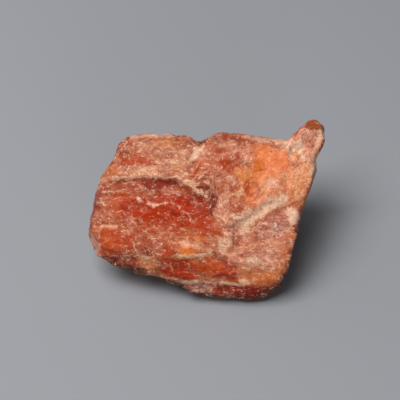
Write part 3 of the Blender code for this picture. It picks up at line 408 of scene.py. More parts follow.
# Ledges on the page: the side on which the ground drops as the line is walked, how far, then the line
LEDGES = {
    "slab_lip": ("right", 0.32, (-16.5, 4), (-14.3, 5.2), (-10.4, 5.7), (-8.2, 5.8), (-5, 5.5), (-2.9, 4.6),
        (0.9, 1.8)),
    "middle_lip": ("right", 0.24, (-16.6, 3.4), (-12.7, 3.3), (-10.4, 3)),
    "inner_lip": ("right", 0.22, (-9.4, 3), (-7, 3), (-4.5, 3), (-2.5, 2.3), (-1.2, 1.4)),
    "block_edge": ("right", 0.2, (0.8, 12.4), (0.1, 10.1), (-0.4, 8.4), (-1.1, 7.2), (-1.7, 6.4),
        (-2.4, 5.5)),
    "right_ridge": ("right", 0.16, (2.6, -1.6), (4.2, -0.9), (5.5, -0.2), (6.9, 0.8), (8.2, 1.7),
        (9.6, 2.2), (11.6, 2.1)),
    "band_lip": ("right", 0.22, (4.2, -1.6), (5.4, -3), (6.2, -1.3), (8.2, 0.1), (10.6, 1.4)),
    "groove_lip": ("right", 0.22, (2.8, 2.4), (4.5, 3.2), (5.4, 4.1), (6, 5)),
    "lens_lip": ("right", 0.22, (-6.6, -5.7), (-4.3, -5.6), (-1.8, -5.75), (0.6, -5.1), (2.6, -5.6),
        (5.4, -7.3), (8.4, -8.6)),
    "lens_top": ("right", 0.16, (-5.2, -3), (-2.8, -3.3), (-1.2, -3.9), (0.6, -4.9)),
    "left_block_foot": ("right", 0.22, (-16.4, -5.2), (-14.8, -5.7), (-12.7, -5.7), (-10.4, -5.5),
        (-7.3, -5.6)),
    "left_block_top": ("left", 0.18, (-16.8, -1.8), (-14.8, -1.8), (-12.2, -1.9), (-10.4, -2.6),
        (-10.1, -4.4)),
    "hem": ("right", 0.2, (-6.5, -9.2), (-2.7, -9.3), (0.8, -9.3), (4.2, -9.5), (7.8, -9.7), (10.6, -8.9)),
    "right_strip": ("left", 0.12, (12, 11), (11.7, 7.6), (10.9, 5.2), (10.2, 3.4)),
    "spur_foot": ("right", 0.2, (13.2, 8.6), (14.4, 7.7), (16.4, 7)),
    "red_flake": ("right", 0.16, (-9.3, 2.1), (-8.2, 1.3), (-7, 1.1), (-5.7, 1.5)),
    "pink_band": ("right", 0.16, (1.6, -5.2), (4.1, -5.7), (7.3, -6.9), (8.9, -7.8)),
}
# A ledge's wall and the ground that it lowers, in millimetres, the share of its length over which it
# ends, and the share of its drop that is cut here, as the solid has the rest
LEDGE_WALL = 0.3
LEDGE_REACH = 1.3
LEDGE_ENDS = 0.1
LEDGE_SHARE = 0.25

# Ledges that are worn round on the stone, and how far
WORN_LEDGES = {"right_ridge": 1.0, "band_lip": 1.0, "lens_lip": 0.8, "left_block_foot": 0.6, "hem": 0.6}
# Other worn edges: how far, then the line
WORN_EDGES = (
    (0.9, (-3.4, 5), (-1.8, 4.6), (-0.4, 3.6), (0.9, 1.8)),
    (0.7, (-16.5, 4), (-14.3, 5.2), (-10.4, 5.7), (-8.2, 5.8), (-5, 5.5), (-3.4, 5)),
    (1.0, (-12.7, 3.3), (-10.4, 3), (-9.4, 2), (-7.4, 1.3), (-5.2, 1.5)),
)
# The far edge, which is worn round too
WORN_FAR_EDGE = ((-6.6, 11.6), (-5, 11.6), (-3.4, 11.3), (-1.9, 10.8))
WORN_REACH = 0.8
WORN_ROUNDS = 35

# The right edge: how far up the page, how far right the solid reaches there, and how far the stone does
RIGHT_EDGE = (
    (-11.0, 9.0, 9.0), (-9.0, 11.0, 11.2), (-7.0, 12.0, 12.1), (-5.0, 12.4, 12.4), (-3.0, 13.1, 12.9),
    (-1.0, 13.85, 13.45), (1.0, 14.3, 13.9), (3.0, 14.6, 14.6), (5.0, 15.0, 15.3), (7.0, 15.45, 15.7),
    (9.0, 16.3, 16.1), (11.0, 17.0, 16.9),
)
# The solid slopes away over the first length beside its right edge; on the stone that is narrower
RIGHT_SLOPE = 1.0
RIGHT_NARROWING = 0.6
RIGHT_REACH = 2.4
# How far up and down the page the change reaches, and the length over which it ends
RIGHT_EDGE_END = 10.5
RIGHT_EDGE_FADE = 2.0

# Where the outline is moved on the page: the place, how far right and up, and the reach
OUTLINE_NUDGES = (
    (16.1, 7.9, -0.38, 0.0, 0.5), (15.7, 6.7, 0.25, 0.0, 0.5),
    (-5.1, 11.4, 0.0, 0.4, 0.8), (-12.3, 10.6, -0.3, 0.45, 1.1), (-2.3, 11.2, 0.0, 0.25, 0.6),
    (-10.9, -8.0, 0.0, 0.35, 0.9), (-5.1, -9.2, -0.1, -0.4, 0.8), (-2.3, -10.5, 0.0, -0.5, 0.8),
    (2.6, -11.6, 0.0, -0.35, 0.9), (-13.7, 8.0, 0.0, -0.3, 0.7),
)

# Broken facets: size of the pieces in millimetres, tilt, and how much longer they are along the streaks
FACETS = ((2.7, 0.11, 1.8), (1.15, 0.12, 1.9), (0.5, 0.12, 1.4))
# How soon a facet rises from its edge, as a share of its size, how much its colour differs, and how wide
# the pale line at its edge is
FACET_EDGE = 0.3
FACET_TONE = (0.1, 0.2, 0.16)
FACET_LINE = 0.09
# Thin cleavage sheets: thickness and step in millimetres
SHEETS = ((0.62, 0.05), (0.31, 0.028))
SHEET_RISER = 0.25
LEFT_CLEAVAGE = (0.16, 0.90, 0.40)
RIGHT_CLEAVAGE = (0.52, -0.72, 0.46)
# Where streaks and sheets turn from the left's direction to the right's: the place on the page, right and
# up, and the lengths over which they turn
STREAK_TURN = ((0.5, -1.5), (3.0, 3.0))
SHEET_TURN = ((1.0, -2.0), (4.0, 3.0))
# How much longer than wide the streaks are
STREAK_STRETCH = 2.6
# The way that streaks and veins run on the left of the stone and on its right, in the row frame
LEFT_STREAK = np.array((0.99, -0.12, 0.0)) @ PAGE_AXES
RIGHT_STREAK = np.array((0.62, 0.78, 0.0)) @ PAGE_AXES
# Sugary grains: size and height in millimetres
GRAIN_SIZE = 0.42
GRAIN_RISE = 0.03

# Pieces of the sides that the page doesn't show, and the pigments that they are made of
HIDDEN_SIZE = 4.6
HIDDEN_PIGMENTS = (
    "salmon", "rust", "deep_red", "peach", "orange_pink", "dusty_red", "brick", "tan", "mauve_pink",
    "burnt_orange", "rust_red", "umber", "orange", "salmon", "peach", "dark_red",
)

# What a deeper tone and a brighter one do to red, green and blue, the colour that a paler one goes
# towards, and the tone that goes all the way
DEEPER = (0.66, 0.42, 0.36)
BRIGHTER = (1.2, 1.35, 1.25)
PALER = (238, 196, 166)
TONE_SPAN = 0.55

# Paler sharp ridges, and painted shade in fine hollows and broad ones: how much their colour changes,
# the height in millimetres from which it does, and the height over which that grows
RIDGES = (0.28, 0.01, 0.03)
FINE_HOLLOW_SHADE = (0.22, 0.01, 0.04)
BROAD_HOLLOW_SHADE = (0.15, 0.04, 0.2)

# Colours of the sugar and of the bright grains, painted as glints of tiny facets, which the pale veins
# share, from 0 to 255, and what clouds, crumbs and dark grains do to red, green and blue
SUGAR = (242, 196, 164)
PAINTED_GLINT_AND_VEIN = (250, 214, 186)
CLOUD = (0.72, 0.5, 0.42, 1.0)
CRUMB = (0.55, 0.33, 0.28, 1.0)
DARK_GRAIN = (0.5, 0.3, 0.26, 1.0)

# The level surface and the light from all round
FLOOR_SIZE = 3.0
FLOOR_COLOUR = (0.27, 0.284, 0.315, 1.0)
SKY_COLOUR = (0.9, 0.95, 1.0, 1.0)
SKY_STRENGTH = 0.052

# Lamps: place, size and power
LAMPS = {
    "key": ((-0.13, -0.042, 0.372), 0.26, 1.88),
    "fill": ((0.05, -0.268, 0.058), 0.11, 0.21),
    "rim": ((-0.152, 0.127, 0.198), 0.25, 0.1),
}
LAMP_COLOUR = (1.0, 0.98, 0.95)
LAMP_AIM = (0.0, 0.0, 0.008)

# Steps to the corners of a cube of noise, and to the cubes round it
CUBE_CORNERS = [np.array(step) for step in itertools.product((0, 1), repeat=3)]
CUBES_ROUND = [np.array(step) for step in itertools.product((-1, 0, 1), repeat=3)]


def smooth(share):
    share = np.clip(share, 0.0, 1.0)
    return share * share * (3.0 - 2.0 * share)


def linear(colour):
    """A colour from 0 to 255 as scene-linear values."""
    share = np.asarray(colour, float) / 255.0
    return np.where(share <= 0.04045, share / 12.92, ((share + 0.055) / 1.055) ** 2.4)


def to_page(places):
    return (places - PAGE_MIDDLE) @ PAGE_AXES.T


def scatter(corner, seed):
    """Three even random numbers from 0 to 1 for each whole-numbered corner, always the same ones."""
    mixed = corner[..., 0] * 73856093 ^ corner[..., 1] * 19349663 ^ corner[..., 2] * 83492791
    mixed = (mixed ^ seed * 2654435761) & 0xFFFFFFFF
    numbers = []
    for turn in (0x45D9F3B, 0x119DE1F3, 0x27D4EB2D):
        mixed = ((mixed ^ (mixed >> 16)) * turn) & 0xFFFFFFFF
        mixed = mixed ^ (mixed >> 15)
        numbers.append((mixed & 0xFFFFFF) / float(0x1000000))
    return np.stack(numbers, axis=-1)


def waves(places, size, seed, octaves=1):
    """Smooth noise, about from -1 to 1, with features of this size."""
    total = np.zeros(len(places))
    for octave in range(octaves):
        at = places * (2.0**octave / size) + 31.7 * (seed + octave)
        corner = np.floor(at).astype(np.int64)
        within = at - corner
        ease = within**3 * (within * (within * 6.0 - 15.0) + 10.0)
        for step in CUBE_CORNERS:
            slope = scatter(corner + step, seed + octave) * 2.0 - 1.0
            share = np.prod(np.where(step == 1, ease, 1.0 - ease), axis=1)
            total += share * ((within - step) * slope).sum(axis=1) * 0.5**octave
    return 1.5 * total


def pieces(places, size, seed):
    """Splits space into pieces of about this size: offset from each piece's middle, its own three
    random numbers, and how far the point is inside its piece."""
    at = places / size
    base = np.floor(at).astype(np.int64)
    nearest = np.full(len(places), np.inf)
    second = np.full(len(places), np.inf)
    offset = np.zeros((len(places), 3))
    owner = np.zeros((len(places), 3), np.int64)
    for step in CUBES_ROUND:
        corner = base + step
        away = at - corner - scatter(corner, seed)
        distance = np.sqrt((away**2).sum(axis=1))
        closer = distance < nearest
        second = np.where(closer, nearest, np.minimum(second, distance))
        nearest = np.where(closer, distance, nearest)
        offset = np.where(closer[:, None], away, offset)
        owner = np.where(closer[:, None], corner, owner)
    return offset, scatter(owner, seed + 77), second - nearest


def beside(points, line, closed=False):
    """The distance of each point from a line or outline, and how far along it is, from 0 to 1.

    Beside a line the distance is above 0 on the left as it is walked; inside an outline it is below 0.
    """
    line = np.asarray(line, float)
    if closed:
        line = np.concatenate([line, line[:1]])
    spans = np.diff(line, axis=0)
    lengths = np.linalg.norm(spans, axis=1)
    starts = np.concatenate([[0.0], np.cumsum(lengths)])
    nearest = np.full(len(points), np.inf)
    signed = np.zeros(len(points))
    along = np.zeros(len(points))
    inside = np.zeros(len(points), bool)
    for start, span, length, before in zip(line[:-1], spans, lengths, starts):
        away = points - start
        share = np.clip(away @ span / length**2, 0.0, 1.0)
        distance = np.linalg.norm(away - share[:, None] * span, axis=1)
        side = span[0] * away[:, 1] - span[1] * away[:, 0]
        closer = distance < nearest
        nearest = np.where(closer, distance, nearest)
        signed = np.where(closer, np.sign(side) * distance, signed)
        along = np.where(closer, (before + share * length) / starts[-1], along)
        rises = (away[:, 1] >= 0.0) & (away[:, 1] < span[1]) & (side > 0.0)
        falls = (away[:, 1] < 0.0) & (away[:, 1] >= span[1]) & (side < 0.0)
        inside ^= rises | falls
    if closed:
        signed = np.where(inside, -nearest, nearest)
    return signed, along


def nearness(points, line, reach, full):
    """1 on the line and close beside it, fading to 0 outwards."""
    distance, _ = beside(points, line)
    return smooth(full - np.abs(distance) / reach)


def arrays_of(mesh):
    """Places in millimetres, and normals."""
    places = np.empty(len(mesh.vertices) * 3, np.float32)
    normals = np.empty(len(mesh.vertices) * 3, np.float32)
    mesh.vertices.foreach_get("co", places)
    mesh.vertex_normals.foreach_get("vector", normals)
    return places.reshape(-1, 3).astype(float) / MM, normals.reshape(-1, 3).astype(float)


def move(mesh, places):
    mesh.vertices.foreach_set("co", (places * MM).astype(np.float32).ravel())
    mesh.update()


def freeze(piece):
    """Replaces the piece's mesh with its evaluated one."""
    bpy.context.view_layer.update()
    graph = bpy.context.evaluated_depsgraph_get()
    made = bpy.data.meshes.new_from_object(piece.evaluated_get(graph))
    piece.modifiers.clear()
    piece.data = made


def fine_copy(node):
    """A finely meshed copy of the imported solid."""
    mesh = node.data.copy()
    shape = bmesh.new()
    shape.from_mesh(mesh)
    bmesh.ops.remove_doubles(shape, verts=shape.verts, dist=1e-7)
    shape.to_mesh(mesh)
    shape.free()
    piece = bpy.data.objects.new("rough_triplite", mesh)
    bpy.context.scene.collection.objects.link(piece)
    even = piece.modifiers.new("even mesh", "REMESH")
    even.mode = "VOXEL"
    even.voxel_size = VOXEL * MM
    relax = piece.modifiers.new("relax", "SMOOTH")
    relax.factor = 0.5
    relax.iterations = SMOOTHING
    freeze(piece)
    return piece


def drawing_points(places):
    """Where each vertex is on the page, with the stray that the solid's ledges have."""
    on_page = to_page(places)
    source = places - np.array((PAGE_MIDDLE[0], PAGE_MIDDLE[1], 0.0))
    for axis, offset in ((0, 3.0), (1, 11.0)):
        shift = Vector((offset, 2.0 * offset, -offset))
        stray = [noise.fractal(Vector(p) / STRAY_SIZE + shift, 0.8, 2.0, 3) for p in source]
        on_page[:, axis] += STRAY * np.array(stray)
    return on_page


def neighbours(mesh):
    """The two ends of each edge, and how many edges each vertex has."""
    ends = np.empty(len(mesh.edges) * 2, np.int32)
    mesh.edges.foreach_get("vertices", ends)
    first, second = ends.reshape(-1, 2).T
    total = len(mesh.vertices)
    return first, second, np.bincount(first, minlength=total) + np.bincount(second, minlength=total)


def levelled(places, links, rounds, weight=1.0):
    """The places after they have moved halfway to the middle of their neighbours a few times."""
    first, second, count = links
    level = places.copy()
    for _ in range(rounds):
        for axis in range(3):
            total = np.bincount(first, level[second, axis], len(places))
            total += np.bincount(second, level[first, axis], len(places))
            level[:, axis] += 0.5 * weight * (total / count - level[:, axis])
    return level


def square_right_edge(places):
    """Steepens the slope beside the right edge, so that the ledged face runs out to the edge."""
    on_page = to_page(places)
    heights, solid, stone = np.array(RIGHT_EDGE).T
    edge = np.interp(on_page[:, 1], heights, solid)
    change = np.interp(on_page[:, 1], heights, stone) - edge
    inward = edge - on_page[:, 0]
    ends = smooth((on_page[:, 1] + RIGHT_EDGE_END) / RIGHT_EDGE_FADE)
    ends *= smooth((RIGHT_EDGE_END - on_page[:, 1]) / RIGHT_EDGE_FADE)
    shift = change * (1.0 - smooth(inward / (RIGHT_SLOPE + RIGHT_REACH)))
    away = smooth(inward / RIGHT_SLOPE) * (1.0 - smooth((inward - RIGHT_SLOPE) / RIGHT_REACH))
    return places + ((shift + RIGHT_NARROWING * away) * ends)[:, None] * RIGHT


def nudge_outline(places):
    on_page = to_page(places)[:, :2]
    shift = np.zeros(places.shape)
    for across, up, move_right, move_up, reach in OUTLINE_NUDGES:
        share = np.exp(-((on_page - (across, up)) ** 2).sum(axis=1) / (2.0 * reach**2))
        shift += share[:, None] * (move_right * RIGHT + move_up * UP)
    return places + shift


def wear_ledges(places, normals, links):
    points = drawing_points(places)[:, :2]
    worn = [(strength, *LEDGES[name][2:]) for name, strength in WORN_LEDGES.items()]
    weight = np.zeros(len(places))
    for strength, *line in (*worn, *WORN_EDGES):
        weight = np.maximum(weight, strength * nearness(points, line, WORN_REACH, 1.5))
    weight *= front_share(normals, SHAPED_PAST_EDGE)
    weight = np.maximum(weight, nearness(points, WORN_FAR_EDGE, WORN_REACH, 1.5))
    return levelled(places, links, WORN_ROUNDS, weight)


def front_share(normals, past_edge):
    """How much of the page's drawing each vertex takes: 1 where it faces the viewer, 0 behind.

    The drawing reaches faces that turn away from the viewer by this much.
    """
    return smooth((normals @ NEAR + past_edge) / EDGE_FADE)


def right_share(on_page, turn):
    """0 on the left of the stone and 1 on its right, where streaks and sheets run another way."""
    place, fade = turn
    return smooth((on_page[:, 0] - place[0]) / fade[0]) * smooth((on_page[:, 1] - place[1]) / fade[1])


def drawn_out(places, stretch):
    """Places squeezed along the streaks, so that pieces made from them are longer that way.

    There is a set for the left of the stone and one for its right, each with its share of every place.
    """
    on_page = to_page(places)
    on_right = right_share(on_page, STREAK_TURN)
    made = []
    for direction in (LEFT_STREAK, RIGHT_STREAK) @ PAGE_AXES.T:
        along = on_page @ direction
        made.append(on_page - ((1.0 - 1.0 / stretch) * along)[:, None] * direction)
    return list(zip(made, (1.0 - on_right, on_right)))


def mixed(under, over, share):
    return under + (over - under) * share[:, None]


def finish_of(pigment):
    """Colour, sugariness and glassiness of a pigment: three numbers, one and one."""
    values = PIGMENTS[pigment]
    return np.concatenate([linear(values[:3]), values[3:]])


def paint(places, normals):
    """Colour, sugariness and glassiness of each vertex, as columns: three, one and one."""
    roam = np.stack([waves(places, 2.2, seed, 2) for seed in (5, 6, 7)], axis=1)
    _, chance, inside = pieces(places + 1.1 * roam, HIDDEN_SIZE, 21)
    table = np.array([finish_of(name) for name in HIDDEN_PIGMENTS])
    hidden = table[(chance[:, 0] * len(HIDDEN_PIGMENTS)).astype(int)]
    average = np.broadcast_to(table.mean(axis=0), hidden.shape)
    hidden = mixed(average, hidden, 0.75 * smooth(inside / 0.3 + 0.1))

    points = page_points(places)
    ragged = 0.3 * waves(places, 0.9, 13, 2)
    front = np.broadcast_to(finish_of("orange_pink"), hidden.shape)
    for pigment, softness, *corners in PATCHES.values():
        distance, _ = beside(points, corners, closed=True)
        share = smooth(0.5 - (distance + ragged * min(1.0, softness / 0.3)) / (2.0 * softness))
        front = mixed(front, finish_of(pigment), share)
    broken = PAST_EDGE_STRAY * waves(places, 1.4, 15, 3)
    return mixed(hidden, front, front_share(normals, PAINTED_PAST_EDGE + broken))


def page_points(places):
    """Where each vertex is on the page for patches and veins."""
    points = drawing_points(places)[:, :2]
    points[:, 0] += FINE_STRAY * waves(places, FINE_STRAY_SIZE, 11, 2)
    points[:, 1] += FINE_STRAY * waves(places, FINE_STRAY_SIZE, 12, 2)
    return points


def draw_veins(places, normals, finish):
    points = page_points(places)
    front = front_share(normals, PAINTED_PAST_EDGE)
    broken = smooth(0.8 + 1.6 * waves(places, 0.55, 14, 2))
    for pigment, width, strength, *line in VEINS.values():
        share = strength * nearness(points, line, VEIN_WIDTH * width, 1.3) * broken * front
        finish = mixed(finish, finish_of(pigment), share)
    return finish


def mottle(places):
    """Lighter and darker streaks and clouds inside the patches."""
    total = 0.12 * waves(places, 0.35, 74)
    for stretched, share in drawn_out(places, STREAK_STRETCH):
        total += share * (0.32 * waves(stretched, 0.9, 72, 2) + 0.3 * waves(stretched, 0.38, 73, 2))
    return total


def toned(finish, tone, line):
    """Paler where the tone is above 0, deeper and redder below, and pale on the edge lines."""
    deeper = finish * np.append(DEEPER, (1.0, 1.0))
    brighter = finish * np.append(BRIGHTER, (1.0, 1.0))
    pale = np.append(linear(PALER), (0.8, 0.1))
    paler = mixed(brighter, pale, 0.45 * np.clip(finish[:, 3] - 0.2, 0.0, 1.0))
    finish = mixed(finish, deeper, np.clip(-tone / TONE_SPAN, 0.0, 1.0))
    finish = mixed(finish, paler, np.clip(tone / TONE_SPAN, 0.0, 1.0))
    return mixed(finish, pale, 0.45 * line)


def ledge_heights(places):
    points = drawing_points(places)[:, :2]
    height = np.zeros(len(points))
    for lower_side, drop, *line in LEDGES.values():
        distance, along = beside(points, line)
        if lower_side == "left":
            distance = -distance
        below = np.clip(-distance / LEDGE_REACH, 0.0, 1.0)
        wall = smooth(-distance / LEDGE_WALL)
        lip = 0.25 * np.exp(-np.clip(distance, 0.0, None) / 0.5) * (1.0 - wall)
        ends = smooth(along / LEDGE_ENDS) * smooth((1.0 - along) / LEDGE_ENDS)
        height += LEDGE_SHARE * drop * (lip - wall * (1.0 - below) ** 2) * ends
    return height


def facets(places, grain):
    """Small broken facets, each a piece with its own tilt and tone: height, tone and edge lines."""
    height = np.zeros(len(places))
    tone = np.zeros(len(places))
    line = np.zeros(len(places))
    for seed, ((size, tilt, stretch), contrast) in enumerate(zip(FACETS, FACET_TONE)):
        for stretched, share in drawn_out(places, stretch):
            offset, chance, inside = pieces(stretched, size, 40 + seed)
            slope = (offset * (chance * 2.0 - 1.0)).sum(axis=1)
            height += share * size * tilt * slope * smooth(inside / FACET_EDGE)
            tone += share * contrast * (chance[:, 1] * 2.0 - 1.0)
            line = np.maximum(line, share * smooth(1.2 - inside * size / FACET_LINE) * (seed == 1))
    return height * (0.5 + 0.5 * grain), tone, line


def sheet_heights(places, grain):
    """Thin cleavage sheets that end in small steps."""
    on_page = to_page(places)
    on_right = right_share(on_page, SHEET_TURN)
    height = np.zeros(len(places))
    waver = waves(places, 3.0, 51, 3)
    patches = smooth(0.5 + 1.3 * waves(places, 3.4, 52, 2))
    for thickness, step in SHEETS:
        for direction, share in ((LEFT_CLEAVAGE, 1.0 - on_right), (RIGHT_CLEAVAGE, on_right)):
            layer = on_page @ np.asarray(direction) / thickness + 0.9 * waver
            within = layer - np.floor(layer)
            height += share * step * (smooth(within / SHEET_RISER) * (1.0 - within) - 0.4)
    return height * patches * (0.35 + 0.65 * grain)


def grain_heights(places, grain):
    _, chance, inside = pieces(places, GRAIN_SIZE, 60)
    return GRAIN_RISE * (chance[:, 0] - 0.5 + 0.6 * smooth(inside / 0.3)) * grain


def shape_surface(piece):
    """Cuts the ledges crisp and breaks the faces into facets, sheets and grains.

    Returns the finish of each vertex.
    """
    places, normals = arrays_of(piece.data)
    places = nudge_outline(square_right_edge(places))
    move(piece.data, wear_ledges(places, normals, neighbours(piece.data)))
    places, normals = arrays_of(piece.data)
    places += (ledge_heights(places) * front_share(normals, SHAPED_PAST_EDGE))[:, None] * NEAR
    move(piece.data, places)
    places, normals = arrays_of(piece.data)
    finish = paint(places, normals)
    grain = finish[:, 3]
    height, tone, line = facets(places, grain)
    calm = np.clip(0.45 + 0.55 * grain, 0.0, 1.0)
    line *= smooth(1.6 * waves(places, 2.1, 71, 2))
    finish = toned(finish, calm * (tone + mottle(places)), calm * line)
    finish = draw_veins(places, normals, finish)
    height += sheet_heights(places, grain) + grain_heights(places, grain)
    low, high = (np.array(corner) / MM for corner in cad_box)
    move(piece.data, np.clip(places + height[:, None] * normals, low, high))
    return finish


def relief_of(mesh, rounds):
    """How far each vertex stands above its surroundings, in millimetres: ridges above 0, hollows below."""
    places, normals = arrays_of(mesh)
    return ((places - levelled(places, neighbours(mesh), rounds)) * normals).sum(axis=1)


def grown(height, most, start, length):
    """0 up to the starting height, and the most of it this much higher."""
    return most * smooth((height - start) / length)


def colour_surface(piece, finish):
    """Writes the colour, the sugariness and the glassiness on the vertices."""
    sharp = relief_of(piece.data, FINE_RELIEF_ROUNDS)
    broad = relief_of(piece.data, BROAD_RELIEF_ROUNDS)
    # Paler on sharp ridges, and painted shade, deepening towards deep red, in fine and broad hollows
    pale = np.append(linear(PALER), (0.7, 0.1))
    dark = np.append(linear(PIGMENTS["deep_red"][:3]), (0.4, 0.5))
    worn = grown(sharp, *RIDGES)
    deep = grown(-sharp, *FINE_HOLLOW_SHADE) + grown(-broad, *BROAD_HOLLOW_SHADE)
    finish = mixed(finish, pale, worn)
    finish = mixed(finish, dark, deep)
    mesh = piece.data
    tint = mesh.attributes.new("tint", "FLOAT_COLOR", "POINT")
    colours = np.concatenate([finish[:, :3], np.ones((len(finish), 1))], axis=1)
    tint.data.foreach_set("color", colours.astype(np.float32).ravel())
    on_right = right_share(to_page(arrays_of(mesh)[0]), STREAK_TURN)
    for name, values in (("grain", finish[:, 3]), ("glass", finish[:, 4]), ("side", on_right)):
        made = mesh.attributes.new(name, "FLOAT", "POINT")
        made.data.foreach_set("value", values.astype(np.float32))


class Nodes:
    """A node tree with short calls to add and link nodes."""

    def __init__(self, material):
        material.use_nodes = True
        self.tree = material.node_tree
        self.shader = self.tree.nodes["Principled BSDF"]

    def add(self, kind, inputs=None, **settings):
        made = self.tree.nodes.new(kind)
        for name, value in settings.items():
            setattr(made, name, value)
        for name, value in (inputs or {}).items():
            self.feed(made.inputs[name], value)
        return made

    def feed(self, socket, value):
        if isinstance(value, bpy.types.NodeSocket):
            self.tree.links.new(value, socket)
        else:
            socket.default_value = value

    def attribute(self, name):
        return self.add("ShaderNodeAttribute", attribute_name=name)

    def noise(self, place, size, detail=2.0, roughness=0.6, distortion=0.0):
        """Noise with features of this size in millimetres."""
        inputs = {"Vector": place, "Scale": 1.0 / (size * MM), "Detail": detail,
                  "Roughness": roughness, "Distortion": distortion}
        return self.add("ShaderNodeTexNoise", inputs).outputs["Fac"]

    def span(self, value, low, high, to_low=0.0, to_high=1.0):
        inputs = {"Value": value, "From Min": low, "From Max": high, "To Min": to_low, "To Max": to_high}
        return self.add("ShaderNodeMapRange", inputs).outputs["Result"]

    def maths(self, operation, a, b):
        made = self.add("ShaderNodeMath", operation=operation)
        self.feed(made.inputs[0], a)
        self.feed(made.inputs[1], b)
        return made.outputs[0]

    def times(self, a, b):
        return self.maths("MULTIPLY", a, b)

    def mix(self, blend, factor, a, b):
        made = self.add("ShaderNodeMix", data_type="RGBA", blend_type=blend)
        self.feed(made.inputs["Factor"], factor)
        self.feed(made.inputs["A"], a)
        self.feed(made.inputs["B"], b)
        return made.outputs["Result"]

    def towards(self, colour, other, share, most):
        """The colour, mixed with the other one by at most this much."""
        return self.mix("MIX", self.times(share, most), colour, other)


def drawn_along_streaks(nodes, place, side, stretch):
    """Places squeezed along the streaks of their side, so that a texture on them is longer that way."""
    both = []
    for along in (LEFT_STREAK, RIGHT_STREAK):
        turn = tuple(Vector(along).to_track_quat("X", "Z").to_euler())
        inputs = {"Vector": place, "Rotation": turn, "Scale": (stretch, 1.0, 1.0)}
        both.append(nodes.add("ShaderNodeMapping", inputs, vector_type="TEXTURE").outputs["Vector"])
    mixed_places = nodes.add("ShaderNodeMix", data_type="VECTOR")
    nodes.feed(mixed_places.inputs["Factor"], side)
    sockets = [socket for socket in mixed_places.inputs if socket.type == "VECTOR"]
    nodes.feed(sockets[-2], both[0])
    nodes.feed(sockets[-1], both[1])
    return [socket for socket in mixed_places.outputs if socket.type == "VECTOR"][0]


def opaque(colour):
    return (*linear(colour), 1.0)


def shifted(nodes, place, start):
    return nodes.add("ShaderNodeMapping", {"Vector": place, "Location": start}).outputs["Vector"]


def crack_lines(nodes, place, size, width):
    """Thin lines, 1 in their middle, round pieces of this size."""
    inputs = {"Vector": place, "Scale": 1.0 / (size * MM)}
    cells = nodes.add("ShaderNodeTexVoronoi", inputs, feature="DISTANCE_TO_EDGE")
    return nodes.span(cells.outputs["Distance"], width / size, 0.0)


def flecks(nodes, place, size, rarity):
    """Single grains of this size, each as strong as its own chance; rarity is the share without any."""
    cells = nodes.add("ShaderNodeTexVoronoi", {"Vector": place, "Scale": 1.0 / (size * MM)})
    chances = nodes.add("ShaderNodeSeparateColor", {"Color": cells.outputs["Color"]}).outputs
    chosen = nodes.maths("GREATER_THAN", chances["Red"], rarity)
    strength = nodes.times(chosen, nodes.span(chances["Green"], 0.0, 1.0, 0.25, 1.0))
    return nodes.times(strength, nodes.span(cells.outputs["Distance"], 0.65, 0.3))


